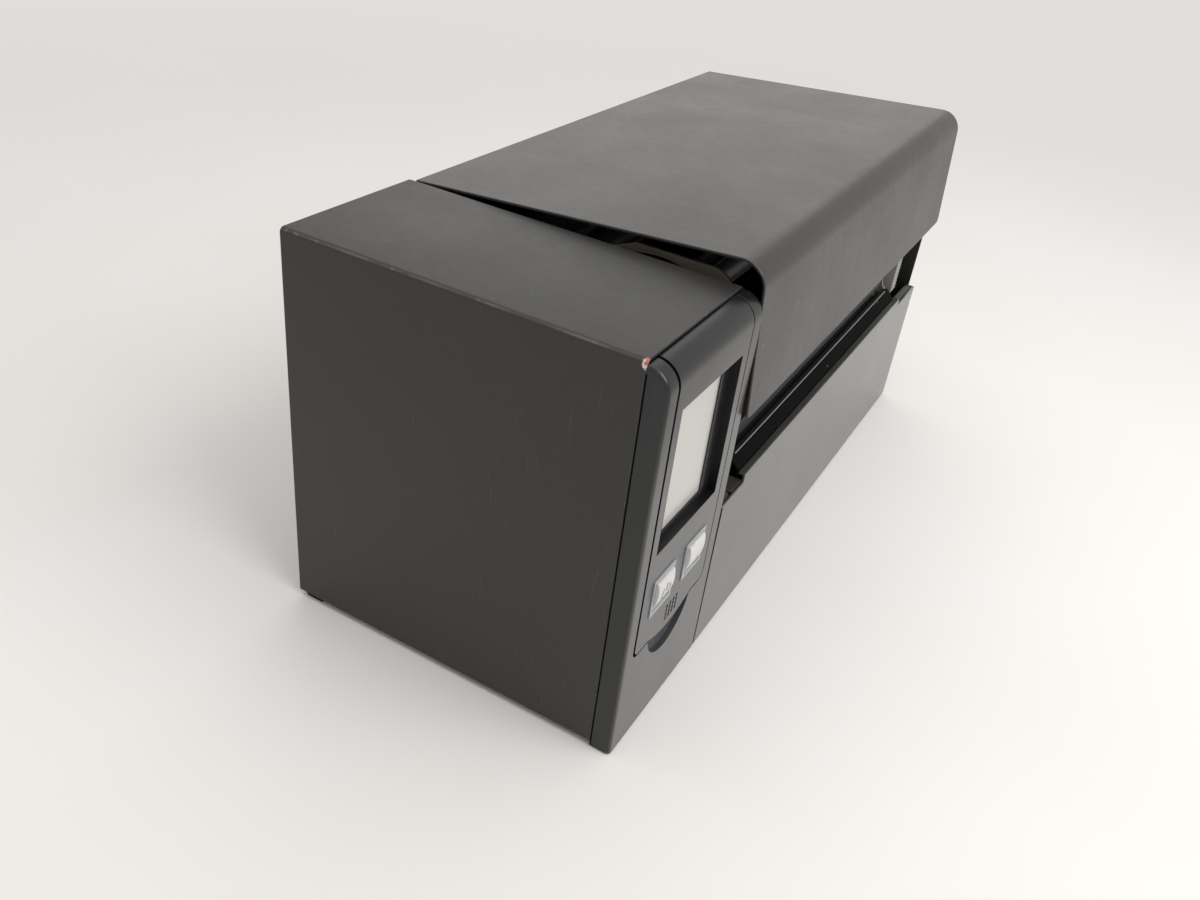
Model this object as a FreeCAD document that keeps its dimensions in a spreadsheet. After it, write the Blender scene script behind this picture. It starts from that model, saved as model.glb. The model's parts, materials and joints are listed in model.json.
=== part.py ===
import FreeCAD, Part
import Sketcher
import math
import os
import re

# Wide-format thermal-transfer label printer, millimetres, +Z up, front towards -Y.
# Places are written as u (right from the tower's left face), v (back from the control
# panel's front) and w (up from the floor); the frame's origin is the middle of the
# whole object's box, at floor level.

DRIVING_SIZES = {
    # whole object
    "overall_width": 446.0,
    "tower_width": 92.0,
    "tower_depth": 192.5,
    "tower_height": 209.0,
    "sheet": 1.5,
    "seam": 0.5,
    "running_gap": 0.05,
    "seat_gap": 0.02,
    "overshoot": 1.0,
    "round_slack": 0.001,
    "tower_floor_gap": 3.7,
    "front_floor_gap": 1.0,
    "left_bend": 2.5,
    "right_bend": 3.5,
    "tower_flange": 18.0,
    # base and feet
    "foot_height": 4.0,
    "foot_radius": 7.0,
    "foot_draft": 1.0,
    "rear_foot_inset": 8.5,
    "front_foot_inset": 18.0,
    "front_foot_depth": 30.0,
    "tray_height": 14.0,
    "tray_step": 1.5,
    # rear panels
    "vent_count": 9.0,
    "vent_length": 60.0,
    "vent_width": 3.0,
    "vent_pitch": 8.0,
    "vent_left": 16.0,
    "vent_drop": 83.0,
    "screw_radius": 3.0,
    "screw_head": 1.8,
    "screw_inset": 8.0,
    "screw_height": 14.0,
    # right wall and front cover
    "wall_inset": 1.0,
    "wall_setback": 4.0,
    "wall_floor_gap": 3.0,
    "wall_drop": 5.0,
    "wall_corner": 12.0,
    "front_gap": 1.0,
    "front_height": 97.7,
    "notch_drop": 5.0,
    "left_notch_reach": 13.0,
    "right_notch_gap": 1.0,
    # label exit
    "ledge_gap": 0.2,
    "ledge_lift": 0.4,
    "ledge_rise": 5.2,
    "ledge_run": 5.4,
    "ledge_shelf": 2.0,
    "ledge_skirt": 18.0,
    "tear_thickness": 0.8,
    "tear_width": 2.6,
    "tear_overhang": 0.3,
    "tear_bevel": 0.7,
    "tear_inset": 6.0,
    "end_block_depth": 4.6,
    "end_block_height": 12.0,
    "end_block_gap": 0.5,
    "end_block_edge": 1.5,
    "end_block_crown": 1.2,
    # control panel
    "panel_depth": 11.0,
    "panel_drop": 1.9,
    "panel_wall": 2.5,
    "cheek_width": 8.4,
    "cheek_edge": 2.0,
    "inset_seam": 0.9,
    "inset_left_seam": 1.8,
    "inset_bottom": 56.2,
    "inset_corner": 4.0,
    "lip_drop": 4.4,
    "lip_half_width": 22.6,
    "lip_side_room": 4.0,
    "scoop_radius": 45.0,
    "scoop_rim": 22.5,
    "scoop_depth": 9.0,
    "scoop_height": 60.1,
    "scoop_block": 36.0,
    "ear_radius": 5.0,
    "pivot_pin_radius": 2.0,
    # tilting display
    "skin": 3.8,
    "inset_side_depth": 9.0,
    "arch_open": 31.0,
    "window_width": 60.8,
    "window_height": 73.0,
    "window_bottom": 111.4,
    "screen_width": 39.4,
    "screen_height": 63.6,
    "mask_margin": 2.2,
    "mask_thickness": 0.8,
    "screen_thickness": 4.0,
    "board_thickness": 1.6,
    "board_gap": 4.9,
    "board_margin": 2.0,
    "boss_radius": 2.6,
    "boss_inset": 2.2,
    "boss_margin": 8.0,
    "key_size": 21.1,
    "key_ring": 2.2,
    "key_clearance": 0.3,
    "key_rise": 2.4,
    "key_dome": 24.0,
    "key_lift": 2.5,
    "key_stem": 0.8,
    "key_flange": 1.0,
    "key_flange_gap": 0.6,
    "ring_rise": 0.6,
    "key_bottom": 73.5,
    "power_key_offset": 27.1,
    "feed_key_offset": 5.5,
    # hinged media cover
    "lid_gap": 1.2,
    "lid_drop": 1.0,
    "lid_face": 1.6,
    "lid_setback": 1.3,
    "flap_bottom": 131.0,
    "lid_bend": 13.0,
    "lid_ajar": 3.9,
    "flap_corner": 4.0,
    "hinge_setback": 2.0,
    "hinge_drop": 3.0,
    "knuckle_radius": 2.6,
    "hinge_pin_radius": 1.5,
    "leaf": 1.2,
    "hinge_length": 50.0,
    "middle_knuckle": 19.0,
    "leaf_reach": 28.0,
    "hinge_inset": 65.0,
    # print mechanism
    "plate": 2.0,
    "left_plate_gap": 15.0,
    "right_plate_inset": 47.0,
    "plate_lead": 0.2,
    "plate_band": 8.0,
    "plate_lid_gap": 0.9,
    "leg_front": 20.5,
    "leg_width": 4.5,
    "bow_radius": 62.0,
    "bow_depth": 60.0,
    "bow_band": 3.2,
    "bow_lean": 22.0,
    "bow_corner": 12.0,
    "plate_slot_radius": 34.0,
    "plate_setback": 8.5,
    "plate_throat": 104.5,
    "plate_brow": 24.0,
    "plate_chin": 8.0,
    "plate_nose_drop": 1.0,
    "spindle_drop": 50.0,
    "takeup_depth": 72.0,
    "platen_height": 94.0,
    "platen_radius": 9.5,
    "platen_side_gap": 17.0,
    "shaft_radius": 4.0,
    "shaft_proud": 0.4,
    "bush_radius": 7.0,
    "bush_flange": 9.0,
    "bush_flange_width": 3.0,
    "cross_bar_radius": 5.0,
    "front_bar_depth": 44.0,
    "front_bar_height": 30.0,
    "rear_bar_height": 110.0,
    "guide_reach": 46.0,
    "guide_height": 98.0,
    "guide_gap": 3.0,
    "guide_lip": 12.0,
    # gear train
    "gear_module": 1.0,
    "gear_width": 8.0,
    "gear_gap": 3.0,
    "gear_front_gap": 1.1,
    "platen_teeth": 24.0,
    "idler_teeth": 36.0,
    "pinion_teeth": 14.0,
    "tooth_root": 1.15,
    "tooth_tip": 0.8,
    "tooth_foot_half": 1.05,
    "tooth_tip_half": 0.36,
    "tooth_sink": 0.6,
    "idler_bearing": 20.0,
    "motor_bearing": 40.0,
    "idler_post_radius": 3.0,
    "post_end_gap": 0.5,
    "post_cap": 1.5,
    "motor_shaft_radius": 3.0,
    "motor_size": 56.4,
    "motor_length": 45.0,
    "pilot_radius": 11.28,
    "pilot_gap": 0.3,
    # print head
    "head_arm": 38.0,
    "head_pivot_height": 122.0,
    "head_pivot_radius": 3.0,
    "head_side_gap": 3.0,
    "head_line_gap": 0.4,
    "head_lead": 6.0,
    "head_heel": 3.0,
    "head_heel_rise": 2.5,
    "head_flat": 10.0,
    "head_length": 28.0,
    "head_tail_rise": 4.0,
    "head_bar_height": 10.0,
    "head_bar_inset": 6.0,
    "carriage_sheet": 2.0,
    "carriage_rear": 6.0,
    "cheek_sheet": 2.5,
    "cheek_front": 10.0,
    "cheek_top": 7.0,
    "head_axle_end": 2.0,
    # head lever
    "lever_gap": 6.0,
    "lever_width": 11.0,
    "lever_hub": 8.0,
    "lever_front": 9.0,
    "lever_bottom": 97.0,
    "lever_top": 137.0,
    "lever_thumb": 11.0,
    "lever_brow": 7.0,
    "lever_neck": 14.0,
    "lever_lean": 3.0,
    "rib_count": 16.0,
    "rib_pitch": 2.4,
    "rib_depth": 0.6,
    # ribbon spindles
    "journal_radius": 3.0,
    "spindle_radius": 6.0,
    "core_radius": 11.0,
    "core_fin": 1.6,
    "core_fin_count": 3.0,
    "core_fin_inset": 4.0,
    "spindle_flange": 22.0,
    "spindle_flange_width": 3.0,
    "spindle_flange_gap": 5.0,
    "spindle_float": 1.5,
    "journal_end": 1.0,
    "ribbon_bush_radius": 5.0,
    "ribbon_collar": 2.5,
    "ribbon_motor_radius": 14.0,
    "ribbon_motor_length": 40.0,
    "gearbox_length": 8.0,
    "gearbox_half": 16.0,
    # label roll holders
    "rail_depth": 118.0,
    "rail_height": 62.0,
    "rail_radius": 6.0,
    "holder_radius": 42.0,
    "holder_thickness": 4.0,
    "holder_hub_radius": 16.0,
    "holder_hub_length": 20.0,
    "holder_inset": 27.0,
    # electronics
    "standoff_length": 10.4,
    "board_lead": 4.0,
    "board_rear_gap": 7.0,
    "board_bottom": 12.0,
    "board_top": 138.0,
    "processor_size": 22.0,
    "processor_height": 3.0,
    "processor_offset": 16.0,
    "processor_up": 96.0,
    "sink_length": 36.0,
    "sink_width": 14.0,
    "sink_height": 14.0,
    "sink_offset": 10.0,
    "sink_up": 50.0,
    "standoff_radius": 3.0,
    "standoff_inset": 5.0,
    "supply_left": 6.0,
    "supply_gap": 2.5,
    "supply_width": 46.0,
    "supply_height": 62.0,
    "supply_chamfer": 6.0,
    "inlet_left": 14.0,
    "inlet_bottom": 24.0,
    "inlet_width": 28.0,
    "inlet_height": 21.0,
    "inlet_flange": 2.0,
    "inlet_depth": 22.0,
    "inlet_wall": 2.0,
    "inlet_rim": 3.0,
    "inlet_back": 4.0,
    "pin_spread": 7.0,
    "earth_rise": 4.0,
    "pin_half_width": 1.0,
    "pin_half_height": 2.0,
    "pin_setback": 3.0,
    "switch_left": 51.0,
    "switch_bottom": 24.0,
    "switch_width": 15.0,
    "switch_height": 21.0,
    "switch_depth": 14.0,
    "switch_wall": 1.6,
    "switch_rim": 1.5,
    "switch_rim_depth": 1.0,
    "switch_well": 8.0,
    "rocker_pivot": 3.0,
    "rocker_rise": 1.2,
    "rocker_dip": 1.6,
    "rocker_belly": 2.5,
    "rocker_room": 0.9,
    "rocker_side": 0.4,
    "rocker_axle_radius": 1.0,
    "rocker_axle_inset": 0.7,
    "rocker_axle_gap": 0.1,
    "usb_size": 12.0,
    "usb_bottom": 96.0,
    "network_width": 16.0,
    "network_height": 13.5,
    "network_bottom": 68.0,
    "socket_depth": 18.0,
    "socket_wall": 1.8,
    "socket_back": 4.0,
}

# Places worked out from the driving sizes.
PLACES = {
    "tower_in": "tower_width - sheet",
    "divider_face": "tower_width - 2 * sheet",
    "rear_in": "tower_depth - sheet",
    "floor": "foot_height + sheet",
    "wall_in": "overall_width - wall_inset - sheet",
    "front_left": "tower_width + front_gap",
    "lid_left": "tower_width + lid_gap",
    "lid_top": "tower_height - lid_drop",
    "lid_rear": "tower_depth - lid_setback",
    "hinge_depth": "tower_depth - hinge_setback",
    "hinge_height": "lid_top - sheet - hinge_drop",
    "flap_out": "hinge_depth + (lid_face - hinge_depth) * cos(lid_ajar)"
                " + (flap_bottom - hinge_height) * sin(lid_ajar)",
    "rear_reach": "tower_depth + inlet_flange",
    "mid_depth": "(flap_out + rear_reach) / 2",
    "panel_height": "tower_height - panel_drop",
    "arch_height": "panel_height - panel_depth",
    "panel_mid": "tower_width / 2",
    "inset_left": "cheek_width + inset_left_seam",
    "inset_right": "tower_width - cheek_width - inset_seam",
    "lip_radius": "(lip_half_width ^ 2 + lip_drop ^ 2) / (2 * lip_drop)",
    "window_left": "(tower_width - window_width) / 2",
    "power_key_left": "panel_mid - power_key_offset",
    "feed_key_left": "panel_mid + feed_key_offset",
    "screen_bottom": "window_bottom + (window_height - screen_height) / 2",
    "vent_bottom": "tower_height - vent_drop",
    "wall_height": "tower_height - wall_drop",
    "left_plate": "tower_width + left_plate_gap",
    "right_plate": "overall_width - right_plate_inset",
    "bay_in": "left_plate + plate",
    "left_notch_end": "left_plate + left_notch_reach",
    "right_notch_start": "right_plate + plate + right_notch_gap",
    "plate_front": "wall_setback + sheet + plate_lead",
    "plate_rear": "tower_depth - plate_setback",
    "spindle_height": "lid_top - spindle_drop",
    "supply_depth": "plate_rear - plate_slot_radius - plate_band",
    "plate_top": "spindle_height + plate_slot_radius + bow_band",
    "plate_peak": "lid_top - sheet - plate_lid_gap",
    "bow_outer": "bow_radius + bow_band",
    "bow_height": "plate_peak - bow_outer",
    "bow_shoulder": "bow_depth + bow_outer * (1 - cos(bow_lean)) / sin(bow_lean)",
    "bow_foot": "bow_depth + (bow_outer - (plate_top - bow_height) * cos(bow_lean)) / sin(bow_lean)",
    "platen_start": "bay_in + platen_side_gap",
    "platen_length": "right_plate - bay_in - 2 * platen_side_gap",
    "platen_depth": "sheet + end_block_depth + gear_front_gap + gear_module * (platen_teeth / 2 + tooth_tip)",
    "guide_rear": "platen_depth + guide_reach",
    "gear_start": "tower_width + gear_gap",
    "gear_end": "gear_start + gear_width",
    "idler_depth": "platen_depth + gear_module * (platen_teeth + idler_teeth) / 2 * cos(idler_bearing)",
    "idler_height": "platen_height - gear_module * (platen_teeth + idler_teeth) / 2 * sin(idler_bearing)",
    "motor_depth": "idler_depth + gear_module * (idler_teeth + pinion_teeth) / 2 * cos(motor_bearing)",
    "motor_height": "idler_height - gear_module * (idler_teeth + pinion_teeth) / 2 * sin(motor_bearing)",
    "ledge_front": "wall_setback + ledge_gap",
    "ledge_back": "ledge_front + ledge_run",
    "ledge_top": "front_height + ledge_lift + ledge_rise",
    "notch_floor": "front_height - notch_drop",
    "left_hinge": "lid_left + hinge_inset",
    "right_hinge": "wall_in - hinge_inset - hinge_length",
    "head_pivot_depth": "platen_depth + head_arm",
    "head_front": "platen_depth - head_lead",
    "head_left": "bay_in + head_side_gap",
    "head_right": "right_plate - head_side_gap",
    "print_line": "platen_height + platen_radius + head_line_gap",
    "carriage_floor": "print_line + head_bar_height",
    "core_end": "platen_start + platen_length",
    "lever_start": "right_plate + plate + lever_gap",
    "board_left": "divider_face - standoff_length - board_thickness",
    "supply_front": "motor_depth + motor_size / 2 + supply_gap",
    "supply_length": "tower_depth - inlet_depth - supply_gap - supply_front",
    "board_front": "supply_front + board_lead",
    "processor_depth": "board_front + processor_offset",
    "sink_depth": "board_front + sink_offset",
    "rocker_depth": "tower_depth - rocker_pivot",
    "rocker_height": "switch_bottom + switch_height / 2",
}

doc = FreeCAD.newDocument("label_printer")
sizes = doc.addObject("Spreadsheet::Sheet", "d")
for row, (alias, number) in enumerate(DRIVING_SIZES.items(), start=1):
    sizes.set(f"A{row}", alias)
    sizes.set(f"B{row}", str(number))
    sizes.setAlias(f"B{row}", alias)
doc.recompute()

nodes = []
WORD = re.compile(r"[a-z][a-z_]*")
X_AXIS = FreeCAD.Vector(1, 0, 0)
Y_AXIS = FreeCAD.Vector(0, 1, 0)
Z_AXIS = FreeCAD.Vector(0, 0, 1)


def expression(text):
    """Sheet expression for a formula written in size and place names."""
    def swap(match):
        word = match.group()
        if word in PLACES:
            return "(" + expression(PLACES[word]) + ")"
        return "d." + word if word in DRIVING_SIZES else word
    return WORD.sub(swap, str(text))


def value(text):
    return float(sizes.evalExpression(expression(text)))


def bind(item, path, text):
    item.setExpression(path, expression(text))


def node(item, label):
    """Marks a finished sub-part, whose label names its file."""
    item.Label = label
    nodes.append(item)
    return item


def place(item, u, v, w):
    """Ties an item's corner or centre to a place in the printer."""
    bind(item, "Placement.Base.x", f"{u} - overall_width / 2")
    bind(item, "Placement.Base.y", f"{v} - mid_depth")
    bind(item, "Placement.Base.z", w)
    return item


def place_on_lid(item, u, v, w):
    """Ties an item given at the closed cover's place to the cover standing ajar."""
    item.Placement.Rotation = FreeCAD.Rotation(X_AXIS, -1)
    bind(item, "Placement.Rotation.Angle", "-lid_ajar")
    ajar_v = f"hinge_depth + ({v} - hinge_depth) * cos(lid_ajar) + ({w} - hinge_height) * sin(lid_ajar)"
    ajar_w = f"hinge_height - ({v} - hinge_depth) * sin(lid_ajar) + ({w} - hinge_height) * cos(lid_ajar)"
    return place(item, u, ajar_v, ajar_w)


def box(name, u, v, w):
    """Block between two places on each axis."""
    item = doc.addObject("Part::Box", name)
    for side, (low, high) in zip(("Length", "Width", "Height"), (u, v, w)):
        bind(item, side, f"({high}) - ({low})")
    return place(item, u[0], v[0], w[0])


def rod(name, axis, start, radius, length):
    """Cylinder from a place along +u, +v or +w."""
    item = doc.addObject("Part::Cylinder", name)
    bind(item, "Radius", radius)
    bind(item, "Height", length)
    if axis == "u":
        item.Placement.Rotation = FreeCAD.Rotation(Y_AXIS, 90)
    if axis == "v":
        item.Placement.Rotation = FreeCAD.Rotation(X_AXIS, -90)
    return place(item, *start)


def hexagon(name, axis, start, radius, length):
    """Six-sided bar from a place along +u or +v."""
    item = doc.addObject("Part::Prism", name)
    item.Polygon = 6
    bind(item, "Circumradius", radius)
    bind(item, "Height", length)
    turn = FreeCAD.Rotation(Y_AXIS, 90) if axis == "u" else FreeCAD.Rotation(X_AXIS, -90)
    item.Placement.Rotation = turn
    return place(item, *start)


def joined(name, items):
    item = doc.addObject("Part::MultiFuse", name)
    item.Shapes = items
    item.Refine = True
    return item


def grouped(name, items):
    """Separate solids that share one node."""
    item = doc.addObject("Part::Compound", name)
    item.Links = items
    return item


def cut(name, base, tools):
    item = doc.addObject("Part::Cut", name)
    item.Base = base
    item.Tool = tools[0] if len(tools) == 1 else grouped(name + "_tools", tools)
    item.Refine = True
    return item


def common(name, first, second):
    item = doc.addObject("Part::MultiCommon", name)
    item.Shapes = [first, second]
    return item


def new_body(name):
    return doc.addObject("PartDesign::Body", name)


def new_sketch(body, name, plane, offset=None):
    """Empty sketch on one of the body's own origin planes."""
    sketch = body.newObject("Sketcher::SketchObject", name)
    support = next(item for item in body.Origin.OriginFeatures if item.Role == plane)
    sketch.AttachmentSupport = [(support, "")]
    sketch.MapMode = "FlatFace"
    if offset:
        bind(sketch, "AttachmentOffset.Base.z", offset)
    return sketch


def tie(sketch, item, point, axis, text):
    """Ties a sketch point's distance from the origin to the sheet."""
    kind = "DistanceX" if axis == 0 else "DistanceY"
    number = value(text)
    if abs(number) < 1e-9:
        sketch.addConstraint(Sketcher.Constraint("PointOnObject", item, point, -2 if axis == 0 else -1))
    elif number > 0:
        index = sketch.addConstraint(Sketcher.Constraint(kind, -1, 1, item, point, number))
        bind(sketch, f"Constraints[{index}]", text)
    else:
        index = sketch.addConstraint(Sketcher.Constraint(kind, item, point, -1, 1, -number))
        bind(sketch, f"Constraints[{index}]", f"-({text})")


def draw_polygon(sketch, points):
    """Closed outline whose corners are tied to the sheet."""
    first = sketch.GeometryCount
    corners = [FreeCAD.Vector(value(x), value(y), 0) for x, y in points]
    for index, corner in enumerate(corners):
        sketch.addGeometry(Part.LineSegment(corner, corners[(index + 1) % len(corners)]))
    for index in range(len(corners)):
        before = first + (index - 1) % len(corners)
        sketch.addConstraint(Sketcher.Constraint("Coincident", before, 2, first + index, 1))
    for index, (x, y) in enumerate(points):
        tie(sketch, first + index, 1, 0, x)
        tie(sketch, first + index, 1, 1, y)


def draw_circle(sketch, x, y, radius):
    centre = FreeCAD.Vector(value(x), value(y), 0)
    circle = sketch.addGeometry(Part.Circle(centre, FreeCAD.Vector(0, 0, 1), value(radius)))
    index = sketch.addConstraint(Sketcher.Constraint("Radius", circle, value(radius)))
    bind(sketch, f"Constraints[{index}]", radius)
    tie(sketch, circle, 3, 0, x)
    tie(sketch, circle, 3, 1, y)


def draw_slot(sketch, start, end, height, radius):
    """Long hole with round ends between two centres at one height."""
    left = FreeCAD.Vector(value(start), value(height), 0)
    right = FreeCAD.Vector(value(end), value(height), 0)
    up = FreeCAD.Vector(0, value(radius), 0)
    normal = FreeCAD.Vector(0, 0, 1)
    right_circle = Part.Circle(right, normal, value(radius))
    left_circle = Part.Circle(left, normal, value(radius))
    low = sketch.addGeometry(Part.LineSegment(left - up, right - up))
    right_arc = sketch.addGeometry(Part.ArcOfCircle(right_circle, -math.pi / 2, math.pi / 2))
    top = sketch.addGeometry(Part.LineSegment(right + up, left + up))
    left_arc = sketch.addGeometry(Part.ArcOfCircle(left_circle, math.pi / 2, 3 * math.pi / 2))
    sketch.addConstraint(Sketcher.Constraint("Tangent", low, 2, right_arc, 1))
    sketch.addConstraint(Sketcher.Constraint("Tangent", right_arc, 2, top, 1))
    sketch.addConstraint(Sketcher.Constraint("Tangent", top, 2, left_arc, 1))
    sketch.addConstraint(Sketcher.Constraint("Tangent", left_arc, 2, low, 1))
    index = sketch.addConstraint(Sketcher.Constraint("Radius", right_arc, value(radius)))
    bind(sketch, f"Constraints[{index}]", radius)
    tie(sketch, right_arc, 3, 0, end)
    tie(sketch, right_arc, 3, 1, height)
    tie(sketch, left_arc, 3, 0, start)


def feature(body, kind, name, sketch):
    item = body.newObject("PartDesign::" + kind, name)
    item.Profile = sketch
    return item


def padded(name, plane, points, length, away=False):
    """Body made by drawing out one polygon; away turns the pad to the plane's other side."""
    body = new_body(name)
    sketch = new_sketch(body, name + "_outline", plane)
    draw_polygon(sketch, points)
    pad = feature(body, "Pad", name + "_pad", sketch)
    bind(pad, "Length", length)
    pad.Reversed = away
    doc.recompute()
    return body


def pocketed(body, name, sketch, depth=None, upward=False):
    """Cuts a sketch's outline out of the body; without a depth it goes right through."""
    before = body.Shape.Volume
    pocket = feature(body, "Pocket", name, sketch)
    pocket.Reversed = upward
    if depth:
        bind(pocket, "Length", depth)
    else:
        pocket.Type = 1
    doc.recompute()
    if body.Shape.Volume >= before:
        raise RuntimeError(name + " cuts nothing")
    return pocket


def rounded(body, name, radius, wanted):
    """Fillet on the straight or curved edges that the test picks."""
    names = []
    for index, edge in enumerate(body.Shape.Edges, start=1):
        if wanted(edge):
            names.append(f"Edge{index}")
    fillet = body.newObject("PartDesign::Fillet", name)
    fillet.Base = (body.Tip if body.Tip != fillet else fillet.BaseFeature, names)
    bind(fillet, "Radius", radius)
    doc.recompute()
    return fillet


def along(edge, axis):
    """True where an edge is straight and runs along one axis of its body."""
    if edge.Curve.TypeId != "Part::GeomLine":
        return False
    step = edge.Vertexes[-1].Point - edge.Vertexes[0].Point
    return abs(abs(step.normalize().dot(axis)) - 1) < 1e-6


def near(point, axis_a, text_a, axis_b, text_b):
    """True where a point has the two given coordinates."""
    gap_a = abs(point[axis_a] - value(text_a))
    gap_b = abs(point[axis_b] - value(text_b))
    return gap_a < 1e-4 and gap_b < 1e-4


def corner(axis, axis_a, text_a, axis_b, text_b):
    """Picks the edges along an axis that pass through one corner of a profile."""
    direction = FreeCAD.Vector(*[1.0 if index == axis else 0.0 for index in range(3)])

    def test(edge):
        return along(edge, direction) and near(edge.CenterOfMass, axis_a, text_a, axis_b, text_b)
    return test


def body_axis(body, role):
    return (next(item for item in body.Origin.OriginFeatures if item.Role == role), [""])


def around(body, name, original, count):
    """Repeats a feature evenly about the body's X axis."""
    pattern = body.newObject("PartDesign::PolarPattern", name)
    pattern.Originals = [original]
    pattern.Axis = body_axis(body, "X_Axis")
    pattern.Angle = 360
    bind(pattern, "Occurrences", count)
    body.Tip = pattern
    doc.recompute()


def revolved(name, points):
    """Body turned about its own X axis from a half section in its XY plane."""
    body = new_body(name)
    sketch = new_sketch(body, name + "_section", "XY_Plane")
    draw_polygon(sketch, points)
    turn = feature(body, "Revolution", name + "_turn", sketch)
    turn.ReferenceAxis = body_axis(body, "X_Axis")
    turn.Angle = 360
    doc.recompute()
    return body


def make_base():
    tray = [("sheet", "panel_depth + tray_step"), ("front_left", "panel_depth + tray_step"),
            ("front_left", "wall_setback"), ("wall_in", "wall_setback"),
            ("wall_in", "rear_in"), ("sheet", "rear_in")]
    inner = [("2 * sheet", "panel_depth + tray_step + sheet"),
             ("front_left + sheet", "panel_depth + tray_step + sheet"),
             ("front_left + sheet", "wall_setback + sheet"), ("wall_in - sheet", "wall_setback + sheet"),
             ("wall_in - sheet", "rear_in - sheet"), ("2 * sheet", "rear_in - sheet")]
    pan = padded("base_pan_body", "XY_Plane", tray, "tray_height")
    hollow = new_sketch(pan, "base_pan_hollow", "XY_Plane", "sheet")
    draw_polygon(hollow, inner)
    pocketed(pan, "base_pan_pocket", hollow, upward=True)
    node(place(pan, "0", "0", "foot_height"), "base_pan")

    feet = []
    for side, across in (("left", "{}"), ("right", "wall_in - {}")):
        for end, depth, inset in (("front", "front_foot_depth", "front_foot_inset"),
                                  ("rear", "tower_depth - rear_foot_inset", "rear_foot_inset")):
            foot = doc.addObject("Part::Cone", f"{side}_{end}_foot")
            bind(foot, "Radius1", "foot_radius - foot_draft")
            bind(foot, "Radius2", "foot_radius")
            bind(foot, "Height", "foot_height")
            feet.append(place(foot, across.format(inset), depth, "0"))
    node(grouped("feet", feet), "rubber_feet")


def make_tower():
    top = "tower_height - tower_floor_gap"
    section = [("0", "0"), ("sheet", "0"), ("sheet", f"{top} - sheet"), ("tower_in", f"{top} - sheet"),
               ("tower_in", f"{top} - tower_flange"), ("tower_width", f"{top} - tower_flange"),
               ("tower_width", top), ("0", top)]
    cover = padded("tower_cover", "XZ_Plane", section, "tower_depth - panel_depth", away=True)
    rounded(cover, "left_outer_bend", "left_bend", corner(1, 0, "0", 2, top))
    rounded(cover, "right_outer_bend", "right_bend", corner(1, 0, "tower_width", 2, top))
    rounded(cover, "left_inner_bend", "left_bend - sheet", corner(1, 0, "sheet", 2, f"{top} - sheet"))
    rounded(cover, "right_inner_bend", "right_bend - sheet", corner(1, 0, "tower_in", 2, f"{top} - sheet"))
    node(place(cover, "0", "panel_depth", "tower_floor_gap"), "electronics_cover")

    front = "panel_depth + tray_step + sheet"
    rear = "rear_in - sheet"
    top = "tower_height - sheet - right_bend"
    outline = [(front, "floor"), (rear, "floor"), (rear, top), (front, top)]
    wall = padded("divider", "YZ_Plane", outline, "sheet")
    holes = new_sketch(wall, "divider_holes", "YZ_Plane")
    draw_circle(holes, "motor_depth", "motor_height", "pilot_radius")
    draw_circle(holes, "takeup_depth", "spindle_height", "ribbon_bush_radius + seat_gap")
    draw_circle(holes, "supply_depth", "spindle_height", "ribbon_bush_radius + seat_gap")
    draw_circle(holes, "idler_depth", "idler_height", "idler_post_radius + seat_gap")
    pocketed(wall, "divider_cuts", holes, upward=True)
    node(place(wall, "divider_face", "0", "0"), "chassis_wall")


def make_rear_panels():
    top = "tower_height - sheet"
    panel = box("tower_rear_blank", ("sheet", "tower_in"), ("rear_in", "tower_depth"),
                ("floor", f"{top} - right_bend"))
    through = ("rear_in - sheet", "tower_depth + sheet")
    tools = []
    for index in range(round(value("vent_count"))):
        low = f"vent_bottom + {index} * vent_pitch"
        tools.append(box(f"vent_{index}", ("vent_left", "vent_left + vent_length"), through,
                         (low, f"{low} + vent_width")))
    tools.append(box("inlet_hole", ("inlet_left", "inlet_left + inlet_width"), through,
                     ("inlet_bottom", "inlet_bottom + inlet_height")))
    tools.append(box("switch_hole", ("switch_left", "switch_left + switch_width"), through,
                     ("switch_bottom", "switch_bottom + switch_height")))
    tools.append(box("usb_hole", ("board_left - usb_size", "board_left"), through,
                     ("usb_bottom", "usb_bottom + usb_size")))
    tools.append(box("network_hole", ("board_left - network_width", "board_left"), through,
                     ("network_bottom", "network_bottom + network_height")))
    node(cut("tower_rear", panel, tools), "tower_rear_panel")

    step = "tower_height - tower_flange - floor - seam"
    bay_top = "hinge_height + seam - floor"
    notch_low = "hinge_height - knuckle_radius - floor - seam"
    outline = [("0", "0"), ("wall_in - tower_in", "0"), ("wall_in - tower_in", bay_top)]
    for start in ("right_hinge", "left_hinge"):
        near_side = f"{start} - seam - tower_in"
        far_side = f"{start} + hinge_length + seam - tower_in"
        outline += [(far_side, bay_top), (far_side, notch_low), (near_side, notch_low), (near_side, bay_top)]
    outline += [("sheet + seam", bay_top), ("sheet + seam", step), ("0", step)]
    bay = padded("bay_rear", "XZ_Plane", outline, "sheet", away=True)
    node(place(bay, "tower_in", "rear_in", "floor"), "bay_rear_panel")

    screws = []
    places = [("screw_inset", "tower_height - screw_height"),
              ("tower_width - screw_inset", "tower_height - screw_height")]
    for across in ("screw_inset", "tower_width - screw_inset", "tower_width + screw_inset",
                   "(tower_width + wall_in) / 2", "wall_in - screw_inset"):
        places.append((across, "screw_height"))
    for across, up in places:
        screws.append(hexagon("rear_screw", "v", (across, "tower_depth", up), "screw_radius", "screw_head"))
    node(grouped("panel_screws", screws), "rear_panel_screws")


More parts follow.
